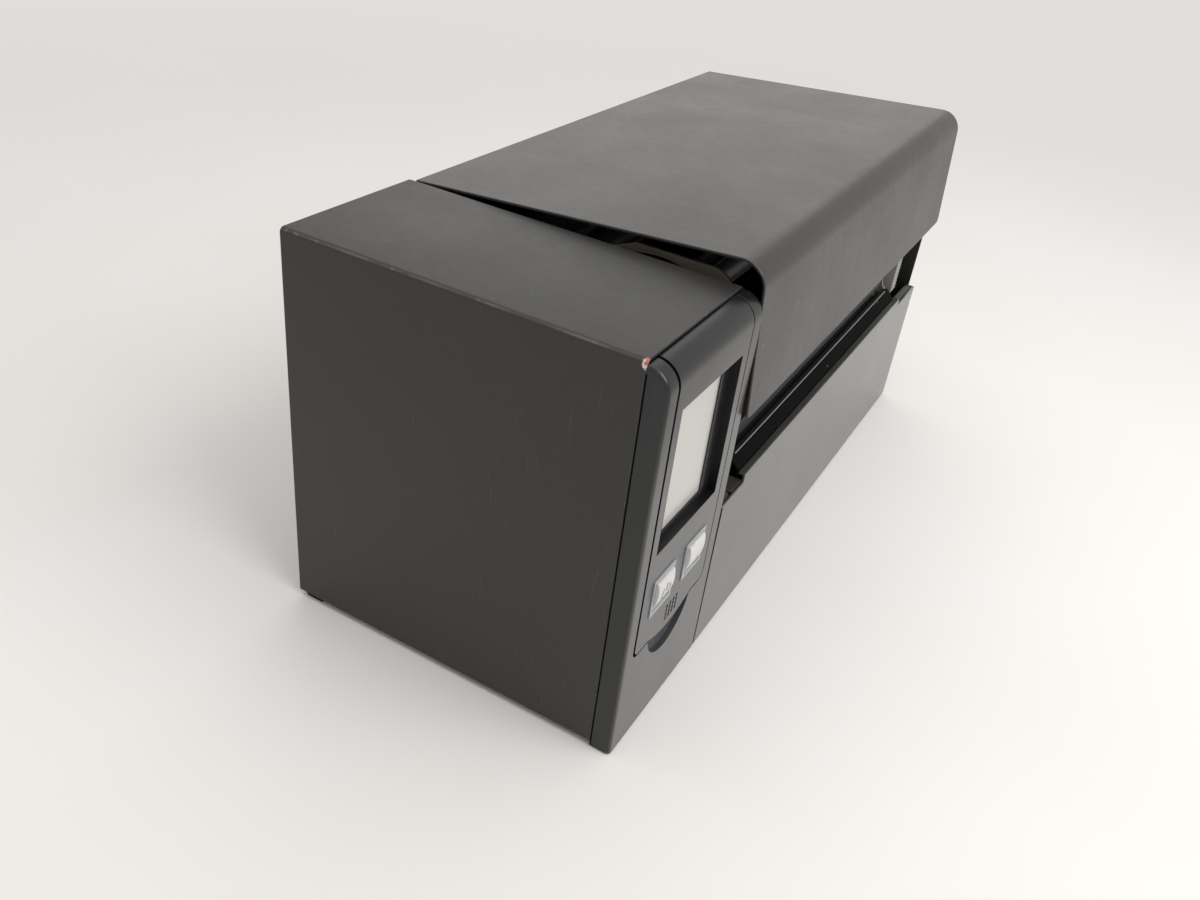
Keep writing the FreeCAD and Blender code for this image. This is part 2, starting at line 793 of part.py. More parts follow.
def make_right_wall():
    low = "wall_floor_gap"
    outline = [("wall_setback", low), ("tower_depth", low), ("tower_depth", "wall_height"),
               ("wall_setback", "wall_height")]
    wall = padded("end_wall", "YZ_Plane", outline, "sheet")
    rounded(wall, "end_wall_round", "wall_corner", corner(0, 1, "wall_setback", 2, "wall_height"))
    node(place(wall, "wall_in", "0", "0"), "right_wall")


def make_front_cover():
    shell = box("front_blank", ("front_left", "overall_width"), ("0", "wall_setback"),
                ("front_floor_gap", "front_height"))
    hollow = box("front_hollow", ("front_left + sheet", "overall_width - sheet"),
                 ("sheet", "wall_setback + sheet"), ("front_floor_gap + sheet", "front_height - sheet"))
    notch = ("notch_floor", "front_height + sheet")
    deep = ("0 - sheet", "wall_setback + sheet")
    left = box("left_notch", ("front_left - sheet", "left_notch_end"), deep, notch)
    right = box("right_notch", ("right_notch_start", "overall_width + sheet"), deep, notch)
    node(cut("front_shell", shell, [hollow, left, right]), "front_cover")


def make_label_exit():
    low = "front_height - ledge_skirt"
    inner_bend = "front_height + ledge_lift - sheet / 2"
    shelf = "ledge_back + ledge_shelf"
    outline = [("ledge_front", low), ("ledge_front + sheet", low), ("ledge_front + sheet", inner_bend),
               ("ledge_back + sheet / 2", "ledge_top - sheet"), (shelf, "ledge_top - sheet"),
               (shelf, "ledge_top"), ("ledge_back", "ledge_top"),
               ("ledge_front", "front_height + ledge_lift")]
    ledge = padded("ledge_bend", "YZ_Plane", outline, "right_plate - bay_in")
    place(ledge, "bay_in", "0", "0")
    step = box("ledge_step", ("bay_in - overshoot", "left_notch_end + overshoot"),
               ("0", f"{shelf} + overshoot"), ("notch_floor", "ledge_top + overshoot"))
    node(cut("ledge", ledge, [step]), "exit_plate")

    edge = "ledge_back - tear_overhang"
    blade = [(edge, "ledge_top"), ("ledge_back + tear_width", "ledge_top"),
             ("ledge_back + tear_width", "ledge_top + tear_thickness"),
             (f"{edge} + tear_bevel", "ledge_top + tear_thickness")]
    bar = padded("tear_blade", "YZ_Plane", blade, "right_plate - left_notch_end - 2 * tear_inset")
    node(place(bar, "left_notch_end + tear_inset", "0", "0"), "tear_bar")

    low = "notch_floor - end_block_height"
    back = "sheet + end_block_depth"
    section = [("sheet", low), (back, low), (back, "notch_floor + end_block_crown"),
               ("sheet + end_block_edge", "notch_floor"), ("sheet", "notch_floor - end_block_edge")]
    left = padded("left_block", "YZ_Plane", section, "left_plate - front_left - sheet - 2 * end_block_gap")
    place(left, "front_left + sheet + end_block_gap", "0", "0")
    right = padded("right_block", "YZ_Plane", section, "wall_in - right_notch_start - 2 * end_block_gap")
    place(right, "right_notch_start + end_block_gap", "0", "0")
    node(grouped("notch_blocks", [left, right]), "end_blocks")


def lip_segment(name, u, drop, depth):
    """Shallow arc-edged strip below the display panel's straight lower edge."""
    strip = box(name + "_strip", u, depth, (f"inset_bottom - {drop}", "inset_bottom + overshoot"))
    disc = rod(name + "_disc", "v", ("panel_mid", depth[0], f"inset_bottom - {drop} + lip_radius"),
               "lip_radius", f"({depth[1]}) - ({depth[0]})")
    return common(name, strip, disc)


def side_profile(name, bottom, length):
    """Front moulding's side view: a straight face that turns over a quarter-round top."""
    height = f"panel_height - {bottom}"
    outline = [("0", "0"), ("panel_depth", "0"), ("panel_depth", height), ("0", height)]
    body = padded(name, "YZ_Plane", outline, length)
    rounded(body, name + "_arch", "panel_depth - round_slack", corner(0, 1, "0", 2, height))
    return body


def lower_corner(edge):
    """Picks a moulding's front-to-back edges along its bottom."""
    return along(edge, Y_AXIS) and edge.CenterOfMass.z < 1e-6


def make_control_panel():
    across = "tower_width - 2 * cheek_width"
    up = "panel_height + panel_wall - inset_bottom + inset_seam"
    opening = padded("display_opening", "XZ_Plane", [("0", "0"), (across, "0"), (across, up), ("0", up)],
                     "panel_depth + 2 * panel_wall", away=True)
    rounded(opening, "display_opening_corners", "inset_corner + inset_seam", lower_corner)
    place(opening, "cheek_width", "0 - panel_wall", "inset_bottom - inset_seam")
    solid = side_profile("front_moulding", "front_floor_gap", "tower_width")
    rounded(solid, "left_cheek_round", "cheek_edge",
            lambda edge: edge.BoundBox.XMax < 1e-6 and edge.BoundBox.YMin < 1e-6 and not along(edge, Y_AXIS))
    place(solid, "0", "0", "front_floor_gap")
    inside = ("panel_wall", "panel_depth + panel_wall")
    tools = [
        opening,
        lip_segment("lip_opening", ("panel_mid - lip_half_width - lip_side_room",
                                    "panel_mid + lip_half_width + lip_side_room"),
                    "(lip_drop + inset_seam)", ("0 - panel_wall", "panel_depth + panel_wall")),
        box("left_cheek_hollow", ("panel_wall", "cheek_width - panel_wall"), inside,
            ("inset_bottom", "arch_height - 2 * panel_wall")),
        box("right_cheek_hollow", ("tower_width - cheek_width + panel_wall", "tower_width - panel_wall"),
            inside, ("inset_bottom", "arch_height - 2 * panel_wall")),
        box("lower_hollow", ("panel_wall", "tower_width - panel_wall"), inside,
            ("front_floor_gap + panel_wall", "scoop_block")),
    ]
    dish = doc.addObject("Part::Sphere", "scoop_dish")
    bind(dish, "Radius", "scoop_radius")
    place(dish, "panel_mid", "scoop_depth - scoop_radius", "scoop_height")
    rim = rod("scoop_wall", "v", ("panel_mid", "0 - panel_wall", "scoop_height"), "scoop_rim",
              "panel_wall + panel_depth")
    tools.append(common("finger_scoop", dish, rim))
    frame = cut("front_frame", solid, tools)

    ears = []
    holes = []
    for side, start in (("left", "cheek_width - panel_wall"), ("right", "tower_width - cheek_width")):
        pivot = (start, "panel_depth", "arch_height")
        ears.append(rod(side + "_ear", "u", pivot, "ear_radius", "panel_wall"))
        holes.append(rod(side + "_ear_hole", "u", (f"{start} - overshoot", *pivot[1:]),
                         "pivot_pin_radius + running_gap", "panel_wall + 2 * overshoot"))
    node(cut("front_bezel", joined("front_with_ears", [frame] + ears), holes), "control_panel")


def key_hole(name, left):
    return box(name, (left, f"{left} + key_size"), ("0 - skin", "2 * skin"),
               ("key_bottom", "key_bottom + key_size"))


def make_display_panel():
    width = "inset_right - inset_left"
    arch = side_profile("inset_moulding", "inset_bottom", width)
    rounded(arch, "inset_corners", "inset_corner", lower_corner)
    place(arch, "inset_left", "0", "inset_bottom")
    inner = ("inset_left + panel_wall", "inset_right - panel_wall")
    back = ("skin", "panel_depth + skin")
    arch_gap = doc.addObject("Part::Cylinder", "arch_gap")
    bind(arch_gap, "Radius", "panel_depth + skin")
    bind(arch_gap, "Height", f"{width} + 2 * overshoot")
    bind(arch_gap, "Angle", "arch_open")
    arch_gap.Placement.Rotation = FreeCAD.Rotation(Z_AXIS, Y_AXIS, X_AXIS, "ZYX")
    place(arch_gap, "inset_left - overshoot", "panel_depth", "arch_height")
    tools = [
        box("inset_hollow", inner, back, ("inset_bottom + panel_wall", "arch_height")),
        rod("inset_arch_hollow", "u", (inner[0], "panel_depth", "arch_height"), "panel_depth - skin",
            f"({inner[1]}) - ({inner[0]})"),
        box("inset_rear_trim", ("inset_left - overshoot", "inset_right + overshoot"),
            ("inset_side_depth", "panel_depth + overshoot"),
            ("inset_bottom - overshoot", "arch_height - ear_radius")),
        box("window", ("window_left", "window_left + window_width"), ("0 - skin", "2 * skin"),
            ("window_bottom", "window_bottom + window_height")),
        key_hole("power_key_hole", "power_key_left"),
        key_hole("feed_key_hole", "feed_key_left"),
        arch_gap,
    ]
    shell = cut("inset_shell", arch, tools)
    lip_width = ("panel_mid - lip_half_width", "panel_mid + lip_half_width")
    lip = lip_segment("lip", lip_width, "lip_drop", ("0", "skin"))
    extras = [shell, lip]
    holes = []
    for side, start in (("left", "inset_left"), ("right", "inset_right - panel_wall")):
        pivot = (start, "panel_depth", "arch_height")
        extras.append(rod(side + "_inset_ear", "u", pivot, "ear_radius - seam", "panel_wall"))
        holes.append(rod(side + "_inset_ear_hole", "u", (f"{start} - overshoot", *pivot[1:]),
                         "pivot_pin_radius + seat_gap", "panel_wall + 2 * overshoot"))
    for across in ("inset_left + panel_wall + boss_inset", "inset_right - panel_wall - boss_inset"):
        for up in ("inset_bottom + boss_margin", "window_bottom - boss_margin"):
            extras.append(hexagon("board_boss", "v", (across, "skin - overshoot", up), "boss_radius",
                                  "board_gap + overshoot"))
    node(cut("inset_panel", joined("inset_with_lip", extras), holes), "display_panel")

    pins = []
    for side, start, gap in (("left", "cheek_width - panel_wall", "inset_left_seam"),
                             ("right", "inset_right - panel_wall", "inset_seam")):
        pins.append(rod(side + "_pivot_pin", "u", (start, "panel_depth", "arch_height"), "pivot_pin_radius",
                        f"2 * panel_wall + {gap}"))
    node(grouped("pivot_pins", pins), "display_pivot_pins")


def make_display_stack():
    across = ("window_left - mask_margin", "window_left + window_width + mask_margin")
    up = ("window_bottom - mask_margin", "window_bottom + window_height + mask_margin")
    blank = box("mask_blank", across, ("skin", "skin + mask_thickness"), up)
    hole = box("mask_hole", ("panel_mid - screen_width / 2", "panel_mid + screen_width / 2"),
               ("skin - overshoot", "skin + mask_thickness + overshoot"),
               ("screen_bottom", "screen_bottom + screen_height"))
    node(cut("mask", blank, [hole]), "display_frame")
    node(box("screen", across, ("skin + mask_thickness", "skin + mask_thickness + screen_thickness"), up),
         "display_screen")
    board = box("key_board_sheet", ("inset_left + panel_wall + seam", "inset_right - panel_wall - seam"),
                ("skin + board_gap", "skin + board_gap + board_thickness"),
                ("inset_bottom + panel_wall + seam", "window_bottom - mask_margin - board_margin"))
    node(board, "key_board")


def make_key(label, left):
    """Square key with a face curved from top to bottom and a flange that its ring keeps in."""
    inset = "key_ring + key_clearance"
    block = box(label + "_block", (f"{left} + {inset}", f"{left} + key_size - ({inset})"),
                ("0 - key_rise", "skin + key_stem"),
                (f"key_bottom + {inset}", f"key_bottom + key_size - ({inset})"))
    dome = rod(label + "_dome", "u", (f"{left} + {inset} - overshoot", "key_dome - key_rise",
                                      "key_bottom + key_size / 2 + key_lift"), "key_dome", "key_size")
    cap = common(label + "_cap", block, dome)
    rim = (f"{left} + key_clearance", f"{left} + key_size - key_clearance")
    flange = box(label + "_flange", rim, ("skin + key_flange_gap", "skin + key_flange_gap + key_flange"),
                 ("key_bottom + key_clearance", "key_bottom + key_size - key_clearance"))
    node(joined(label + "_whole", [cap, flange]), label)


def make_keys():
    rings = []
    for name, left in (("power", "power_key_left"), ("feed", "feed_key_left")):
        outer = box(name + "_ring", (left, f"{left} + key_size"), ("0 - ring_rise", "skin"),
                    ("key_bottom", "key_bottom + key_size"))
        inner = box(name + "_ring_hole", (f"{left} + key_ring", f"{left} + key_size - key_ring"),
                    ("0 - skin", "2 * skin"), ("key_bottom + key_ring", "key_bottom + key_size - key_ring"))
        rings.append(cut(name + "_surround", outer, [inner]))
    node(grouped("key_rings", rings), "button_surrounds")
    make_key("power_button", "power_key_left")
    make_key("feed_button", "feed_key_left")


def make_media_cover():
    depth = "lid_rear - lid_face"
    height = "lid_top - flap_bottom"
    section = [("0", "0"), ("sheet", "0"), ("sheet", f"{height} - sheet"), (depth, f"{height} - sheet"),
               (depth, height), ("0", height)]
    lid = padded("lid", "YZ_Plane", section, "overall_width - lid_left")
    rounded(lid, "lid_outer_bend", "lid_bend", corner(0, 1, "0", 2, height))
    rounded(lid, "lid_inner_bend", "lid_bend - sheet", corner(0, 1, "sheet", 2, f"{height} - sheet"))
    rounded(lid, "lid_flap_corners", "flap_corner",
            lambda edge: along(edge, Y_AXIS) and edge.CenterOfMass.z < 1e-6)
    node(place_on_lid(lid, "lid_left", "lid_face", "flap_bottom"), "media_cover")


def make_hinges():
    fixed = []
    moving = []
    pins = []
    low = "hinge_height - leaf_reach"
    clear = "(knuckle_radius + seam)"
    for name in ("left", "right"):
        start = name + "_hinge"
        end = f"{start} + hinge_length"
        inner_start = f"{start} + (hinge_length - middle_knuckle) / 2"
        inner_end = f"{start} + (hinge_length + middle_knuckle) / 2"
        axis = ("hinge_depth", "hinge_height")
        against = ("rear_in - leaf", "rear_in")
        plates = [box(name + "_leaf", (start, end), against, (low, f"hinge_height - {clear}"))]
        for first, last in ((start, f"{inner_start} - seam"), (f"{inner_end} + seam", end)):
            length = f"({last}) - ({first})"
            plates.append(rod(name + "_knuckle", "u", (first, *axis), "knuckle_radius", length))
            plates.append(box(name + "_tab", (first, last), against,
                              (f"hinge_height - {clear} - overshoot", "hinge_height - hinge_pin_radius")))
        bore = rod(name + "_fixed_bore", "u", (f"{start} - overshoot", *axis), "hinge_pin_radius + seat_gap",
                   "hinge_length + 2 * overshoot")
        fixed.append(cut(name + "_fixed_leaf", joined(name + "_fixed_blank", plates), [bore]))

        leaf = new_body(name + "_swing_leaf")
        flat = new_sketch(leaf, name + "_swing_outline", "XY_Plane", "hinge_drop - leaf")
        reach = "0 - leaf_reach"
        tab_low = "(hinge_length - middle_knuckle) / 2"
        tab_high = "(hinge_length + middle_knuckle) / 2"
        draw_polygon(flat, [("0", reach), ("hinge_length", reach), ("hinge_length", f"0 - {clear}"),
                            (tab_high, f"0 - {clear}"), (tab_high, "0 - seam"), (tab_low, "0 - seam"),
                            (tab_low, f"0 - {clear}"), ("0", f"0 - {clear}")])
        pad = feature(leaf, "Pad", name + "_swing_pad", flat)
        bind(pad, "Length", "leaf")
        barrel = new_sketch(leaf, name + "_barrel_outline", "YZ_Plane", tab_low)
        draw_circle(barrel, "0", "0", "knuckle_radius")
        roll = feature(leaf, "Pad", name + "_barrel", barrel)
        bind(roll, "Length", "middle_knuckle")
        doc.recompute()
        eye = new_sketch(leaf, name + "_barrel_eye", "YZ_Plane")
        draw_circle(eye, "0", "0", "hinge_pin_radius + running_gap")
        pocketed(leaf, name + "_barrel_bore", eye, upward=True)
        moving.append(place_on_lid(leaf, start, "hinge_depth", "hinge_height"))
        pins.append(rod(name + "_hinge_pin", "u", (start, *axis), "hinge_pin_radius", "hinge_length"))
    node(grouped("fixed_leaves", fixed), "hinge_fixed_leaves")
    node(grouped("moving_leaves", moving), "hinge_moving_leaves")
    node(grouped("leaf_pins", pins), "hinge_pins")


def plate_outline():
    """Side plate: a forward throat at the platen below a back part that bows up under the cover."""
    return [("plate_front", "floor"), ("plate_rear", "floor"), ("plate_rear", "plate_top"),
            ("bow_foot", "plate_top"), ("bow_shoulder", "plate_peak"), ("leg_front", "plate_peak"),
            ("leg_front", "plate_throat + plate_brow"), ("plate_front + plate_chin", "plate_throat"),
            ("plate_front", "front_height - plate_nose_drop")]


def bow_window():
    """Round-topped opening behind the left plate's front leg."""
    through = ("left_plate - overshoot", "bay_in + overshoot")
    behind = ("leg_front + leg_width", "supply_depth")
    side = box("bow_sides", through, behind, ("spindle_height", "plate_peak"))
    top = rod("bow_round", "u", (through[0], "bow_depth", "bow_height"), "bow_radius",
              f"({through[1]}) - ({through[0]})")
    return common("bow_opening", side, top)


def make_frame_plates():
    rear_round = "plate_slot_radius + bow_band - round_slack"
    for label, start in (("left_frame_plate", "left_plate"), ("right_frame_plate", "right_plate")):
        body = padded(label + "_sheet", "YZ_Plane", plate_outline(), "plate")
        rounded(body, label + "_front_round", "bow_corner", corner(0, 1, "leg_front", 2, "plate_peak"))
        rounded(body, label + "_rear_round", rear_round, corner(0, 1, "plate_rear", 2, "plate_top"))
        holes = new_sketch(body, label + "_holes", "YZ_Plane")
        draw_circle(holes, "platen_depth", "platen_height", "bush_radius + seat_gap")
        draw_circle(holes, "head_pivot_depth", "head_pivot_height", "head_pivot_radius + running_gap")
        if label == "left_frame_plate":
            draw_slot(holes, "takeup_depth", "supply_depth", "spindle_height", "plate_slot_radius")
        else:
            draw_circle(holes, "takeup_depth", "spindle_height", "ribbon_bush_radius + seat_gap")
            draw_circle(holes, "supply_depth", "spindle_height", "ribbon_bush_radius + seat_gap")
        pocketed(body, label + "_cuts", holes, upward=True)
        place(body, start, "0", "0")
        plate = cut(label + "_bowed", body, [bow_window()]) if label == "left_frame_plate" else body
        node(plate, label)

    span = "right_plate - bay_in"
    bars = []
    for depth, up in (("front_bar_depth", "front_bar_height"),
                      ("plate_rear - 2 * cross_bar_radius", "rear_bar_height")):
        bars.append(rod("tie_bar", "u", ("bay_in", depth, up), "cross_bar_radius", span))
    node(grouped("tie_bars", bars), "cross_bars")

    lead = "platen_depth + platen_radius + guide_gap"
    lip = "guide_height - guide_lip"
    guide = [(lead, "guide_height"), ("guide_rear", "guide_height"), ("guide_rear", lip),
             ("guide_rear - sheet", lip), ("guide_rear - sheet", "guide_height - sheet"),
             (lead, "guide_height - sheet")]
    node(place(padded("guide_bend", "YZ_Plane", guide, span), "bay_in", "0", "0"), "media_guide_plate")


def tube(name, u, v, w, outer, inner, length):
    return cut(name, rod(name + "_outer", "u", (u, v, w), outer, length),
               [rod(name + "_bore", "u", (f"{u} - overshoot", v, w), inner, f"{length} + 2 * overshoot")])


def flanged_bush(name, u, v, w, sizes_of, towards_left):
    """Plain bearing whose collar bears on one face of a plate."""
    body, collar, bore, wall, collar_width = sizes_of
    first = f"{u} - {collar_width}" if towards_left else u
    collar_start = first if towards_left else f"{u} + {wall}"
    blank = joined(name + "_blank", [rod(name + "_body", "u", (u, v, w), body, wall),
                                     rod(name + "_collar", "u", (collar_start, v, w), collar, collar_width)])
    hole = rod(name + "_hole", "u", (f"{first} - overshoot", v, w), bore,
               f"{wall} + {collar_width} + 2 * overshoot")
    return cut(name, blank, [hole])


def make_platen():
    axis = ("platen_depth", "platen_height")
    start = "gear_start - shaft_proud"
    end = "right_plate + plate + bush_flange_width + shaft_proud"
    node(rod("platen_axle", "u", (start, *axis), "shaft_radius", f"({end}) - ({start})"), "platen_shaft")
    rubber = tube("platen_rubber", "platen_start", *axis, "platen_radius", "shaft_radius + seat_gap",
                  "platen_length")
    node(rubber, "platen_roller")
    fit = ("bush_radius", "bush_flange", "shaft_radius + running_gap", "plate", "bush_flange_width")
    bushes = [flanged_bush("left_platen_bush", "left_plate", *axis, fit, True),
              flanged_bush("right_platen_bush", "right_plate", *axis, fit, False)]
    node(grouped("platen_bearings", bushes), "platen_bushings")


def make_gear(label, teeth, depth, height, bore, phase):
    """Spur gear with straight-flanked teeth patterned about its bore."""
    root = f"gear_module * ({teeth} / 2 - tooth_root)"
    tip = f"gear_module * ({teeth} / 2 + tooth_tip)"
    body = new_body(label + "_wheel")
    disc = new_sketch(body, label + "_disc", "YZ_Plane")
    draw_circle(disc, "0", "0", root)
    blank = feature(body, "Pad", label + "_blank", disc)
    bind(blank, "Length", "gear_width")
    flank = new_sketch(body, label + "_flank", "YZ_Plane")
    sunk = f"{root} - gear_module * tooth_sink"
    foot = "gear_module * tooth_foot_half"
    head = "gear_module * tooth_tip_half"
    draw_polygon(flank, [(sunk, f"0 - {foot}"), (tip, f"0 - {head}"), (tip, head), (sunk, foot)])
    tooth = feature(body, "Pad", label + "_tooth", flank)
    bind(tooth, "Length", "gear_width")
    doc.recompute()
    around(body, label + "_teeth", tooth, teeth)
    hole = new_sketch(body, label + "_hole", "YZ_Plane")
    draw_circle(hole, "0", "0", bore)
    pocketed(body, label + "_bore", hole, upward=True)
    body.Placement.Rotation = FreeCAD.Rotation(X_AXIS, 1)
    bind(body, "Placement.Rotation.Angle", phase)
    node(place(body, "gear_start", depth, height), label)


def meshed_phase(phase, teeth, bearing, next_teeth):
    """Turn of a wheel whose gap meets the first wheel's tooth along the line of centres."""
    return f"{bearing} + 180 - (0.5 - ({bearing} - ({phase})) * {teeth} / 360) * 360 / {next_teeth}"


def make_gear_train():
    platen_phase = "0"
    idler_phase = meshed_phase(platen_phase, "platen_teeth", "(0 - idler_bearing)", "idler_teeth")
    pinion_phase = meshed_phase(idler_phase, "idler_teeth", "(0 - motor_bearing)", "pinion_teeth")
    make_gear("platen_gear", "platen_teeth", "platen_depth", "platen_height", "shaft_radius + seat_gap",
              platen_phase)
    make_gear("idler_gear", "idler_teeth", "idler_depth", "idler_height", "idler_post_radius + running_gap",
              idler_phase)
    make_gear("motor_pinion", "pinion_teeth", "motor_depth", "motor_height", "motor_shaft_radius + seat_gap",
              pinion_phase)

    cap = "gear_end + post_end_gap - divider_face"
    post = revolved("idler_stud", [("0", "0"), ("0", "idler_post_radius"), (cap, "idler_post_radius"),
                                   (cap, "idler_post_radius + post_cap"),
                                   (f"{cap} + post_cap", "idler_post_radius + post_cap"),
                                   (f"{cap} + post_cap", "0")])
    node(place(post, "divider_face", "idler_depth", "idler_height"), "idler_post")

    half = "motor_size / 2"
    axis = ("motor_depth", "motor_height")
    mid_motor = "divider_face - motor_length / 2"
    case = box("motor_case", ("divider_face - motor_length", "divider_face"),
               (f"motor_depth - {half}", f"motor_depth + {half}"),
               (f"motor_height - {half}", f"motor_height + {half}"))
    pilot = rod("motor_pilot", "u", ("divider_face", *axis), "pilot_radius - pilot_gap", "sheet")
    hole = rod("motor_bore", "u", (mid_motor, *axis), "motor_shaft_radius + running_gap", "motor_length")
    node(cut("motor", joined("motor_blank", [case, pilot]), [hole]), "stepper_motor")
    node(rod("motor_axle", "u", (f"{mid_motor} + seam", *axis), "motor_shaft_radius",
             f"gear_end + shaft_proud - ({mid_motor} + seam)"), "motor_shaft")


def make_head():
    axis = ("head_pivot_depth", "head_pivot_height")
    rear = "head_pivot_depth + carriage_rear"
    plates = [box("carriage_top", ("head_left", "head_right"), ("head_front", rear),
                  ("carriage_floor", "carriage_floor + carriage_sheet"))]
    holes = []
    for name, start in (("left", "head_left"), ("right", "head_right - cheek_sheet")):
        plates.append(box(name + "_cheek", (start, f"{start} + cheek_sheet"),
                          ("head_pivot_depth - cheek_front", rear),
                          ("carriage_floor", "head_pivot_height + cheek_top")))
        holes.append(rod(name + "_cheek_hole", "u", (f"{start} - overshoot", *axis),
                         "head_pivot_radius + running_gap", "cheek_sheet + 2 * overshoot"))
    node(cut("carriage", joined("carriage_blank", plates), holes), "head_carriage")

    tail = "head_front + head_length"
    section = [("head_front", "print_line + head_heel_rise"), ("head_front + head_heel", "print_line"),
               ("head_front + head_flat", "print_line"), (tail, "print_line + head_tail_rise"),
               (tail, "carriage_floor"), ("head_front", "carriage_floor")]
    bar = padded("head_bar", "YZ_Plane", section, "head_right - head_left - 2 * head_bar_inset")
    node(place(bar, "head_left + head_bar_inset", "0", "0"), "print_head")

    start = "left_plate - head_axle_end"
    length = f"lever_start + lever_width + head_axle_end - ({start})"
    node(rod("head_axle", "u", (start, *axis), "head_pivot_radius", length), "head_pivot_shaft")


def make_lever():
    thumb = "lever_front + lever_thumb"
    arm = [("lever_front", "lever_bottom"), (thumb, "lever_bottom"),
           (f"{thumb} + lever_lean", "lever_bottom + lever_neck"),
           ("head_pivot_depth", "head_pivot_height - lever_hub"),
           ("head_pivot_depth", "head_pivot_height + lever_hub"),
           (f"{thumb} + lever_brow", "lever_top - lever_brow"), (thumb, "lever_top"),
           ("lever_front", "lever_top")]
    body = padded("lever_arm", "YZ_Plane", arm, "lever_width")
    first = "lever_bottom + (lever_top - lever_bottom - rib_count * rib_pitch) / 2"
    ridge = new_sketch(body, "lever_ridge", "YZ_Plane")
    draw_polygon(ridge, [("lever_front", first), ("lever_front", f"{first} + rib_pitch"),
                         ("lever_front - rib_depth", f"{first} + rib_pitch / 2")])
    rib = feature(body, "Pad", "lever_rib", ridge)
    bind(rib, "Length", "lever_width")
    doc.recompute()
    ribs = body.newObject("PartDesign::LinearPattern", "lever_ribs")
    ribs.Originals = [rib]
    ribs.Direction = body_axis(body, "Z_Axis")
    bind(ribs, "Length", "(rib_count - 1) * rib_pitch")
    bind(ribs, "Occurrences", "rib_count")
    body.Tip = ribs
    doc.recompute()
    place(body, "lever_start", "0", "0")
    axis = ("head_pivot_depth", "head_pivot_height")
    hub = rod("lever_boss", "u", ("lever_start", *axis), "lever_hub", "lever_width")
    hole = rod("lever_hole", "u", ("lever_start - overshoot", *axis), "head_pivot_radius + seat_gap",
               "lever_width + 2 * overshoot")
    node(cut("lever", joined("lever_blank", [body, hub]), [hole]), "head_lever")


def make_ribbon_spindle(label, depth):
    """Turned spindle on two journals, with one flange and fins that grip a ribbon core."""
    end = "right_plate + plate + journal_end"
    left_shoulder = "tower_in + ribbon_collar + spindle_float"
    right_shoulder = "right_plate - ribbon_collar - spindle_float"
    flange_end = "platen_start - spindle_flange_gap"
    flange = f"{flange_end} - spindle_flange_width"
    section = [("divider_face", "0"), ("divider_face", "journal_radius"), (left_shoulder, "journal_radius"),
               (left_shoulder, "spindle_radius"), (flange, "spindle_radius"), (flange, "spindle_flange"),
               (flange_end, "spindle_flange"), (flange_end, "core_radius"), (right_shoulder, "core_radius"),
               (right_shoulder, "journal_radius"), (end, "journal_radius"), (end, "0")]
    body = revolved(label + "_turned", [(f"({u}) - divider_face", r) for u, r in section])
    outline = new_sketch(body, label + "_fin_outline", "XY_Plane", "0 - core_fin / 2")
    first = "platen_start + core_fin_inset - divider_face"
    last = "core_end - core_fin_inset - divider_face"
    low = "core_radius - overshoot"
    high = "core_radius + core_fin"
    draw_polygon(outline, [(first, low), (last, low), (last, high), (f"{first} + core_fin_inset", high)])
    fin = feature(body, "Pad", label + "_fin", outline)
    bind(fin, "Length", "core_fin")
    doc.recompute()
    around(body, label + "_fins", fin, "core_fin_count")
    node(place(body, "divider_face", depth, "spindle_height"), label)


def make_ribbon_drive():
    make_ribbon_spindle("ribbon_takeup_spindle", "takeup_depth")
    make_ribbon_spindle("ribbon_supply_spindle", "supply_depth")
    bore = "journal_radius + running_gap"
    bushes = []
    motors = []
    for name, depth in (("takeup", "takeup_depth"), ("supply", "supply_depth")):
        axis = (depth, "spindle_height")
        bushes.append(tube(name + "_left_bush", "divider_face", *axis, "ribbon_bush_radius", bore,
                           "sheet + ribbon_collar"))
        bushes.append(tube(name + "_right_bush", "right_plate - ribbon_collar", *axis, "ribbon_bush_radius",
                           bore, "plate + ribbon_collar"))
        can = rod(name + "_motor_can", "u", ("divider_face - ribbon_motor_length", *axis),
                  "ribbon_motor_radius", "ribbon_motor_length - gearbox_length")
        gearbox = box(name + "_motor_gearbox", ("divider_face - gearbox_length", "divider_face"),
                      (f"{depth} - gearbox_half", f"{depth} + gearbox_half"),
                      ("spindle_height - gearbox_half", "spindle_height + gearbox_half"))
        motors.append(joined(name + "_motor", [can, gearbox]))
    node(grouped("spindle_bushes", bushes), "ribbon_bushings")
    node(grouped("spindle_motors", motors), "ribbon_motors")


def make_roll_holders():
    axis = ("rail_depth", "rail_height")
    node(rod("rail", "u", ("bay_in", *axis), "rail_radius", "right_plate - bay_in"), "roll_rail")
    bore = "rail_radius + running_gap"
    hub_end = "holder_thickness + holder_hub_length"
    section = [("0", bore), ("0", "holder_radius"), ("holder_thickness", "holder_radius"),
               ("holder_thickness", "holder_hub_radius"),
               (hub_end, "holder_hub_radius"), (hub_end, bore)]
    left = revolved("left_holder", section)
    node(place(left, "bay_in + holder_inset", *axis), "roll_holder_left")
    right = revolved("right_holder", section)
    right.Placement.Rotation = FreeCAD.Rotation(Z_AXIS, 180)
    node(place(right, "right_plate - holder_inset", *axis), "roll_holder_right")


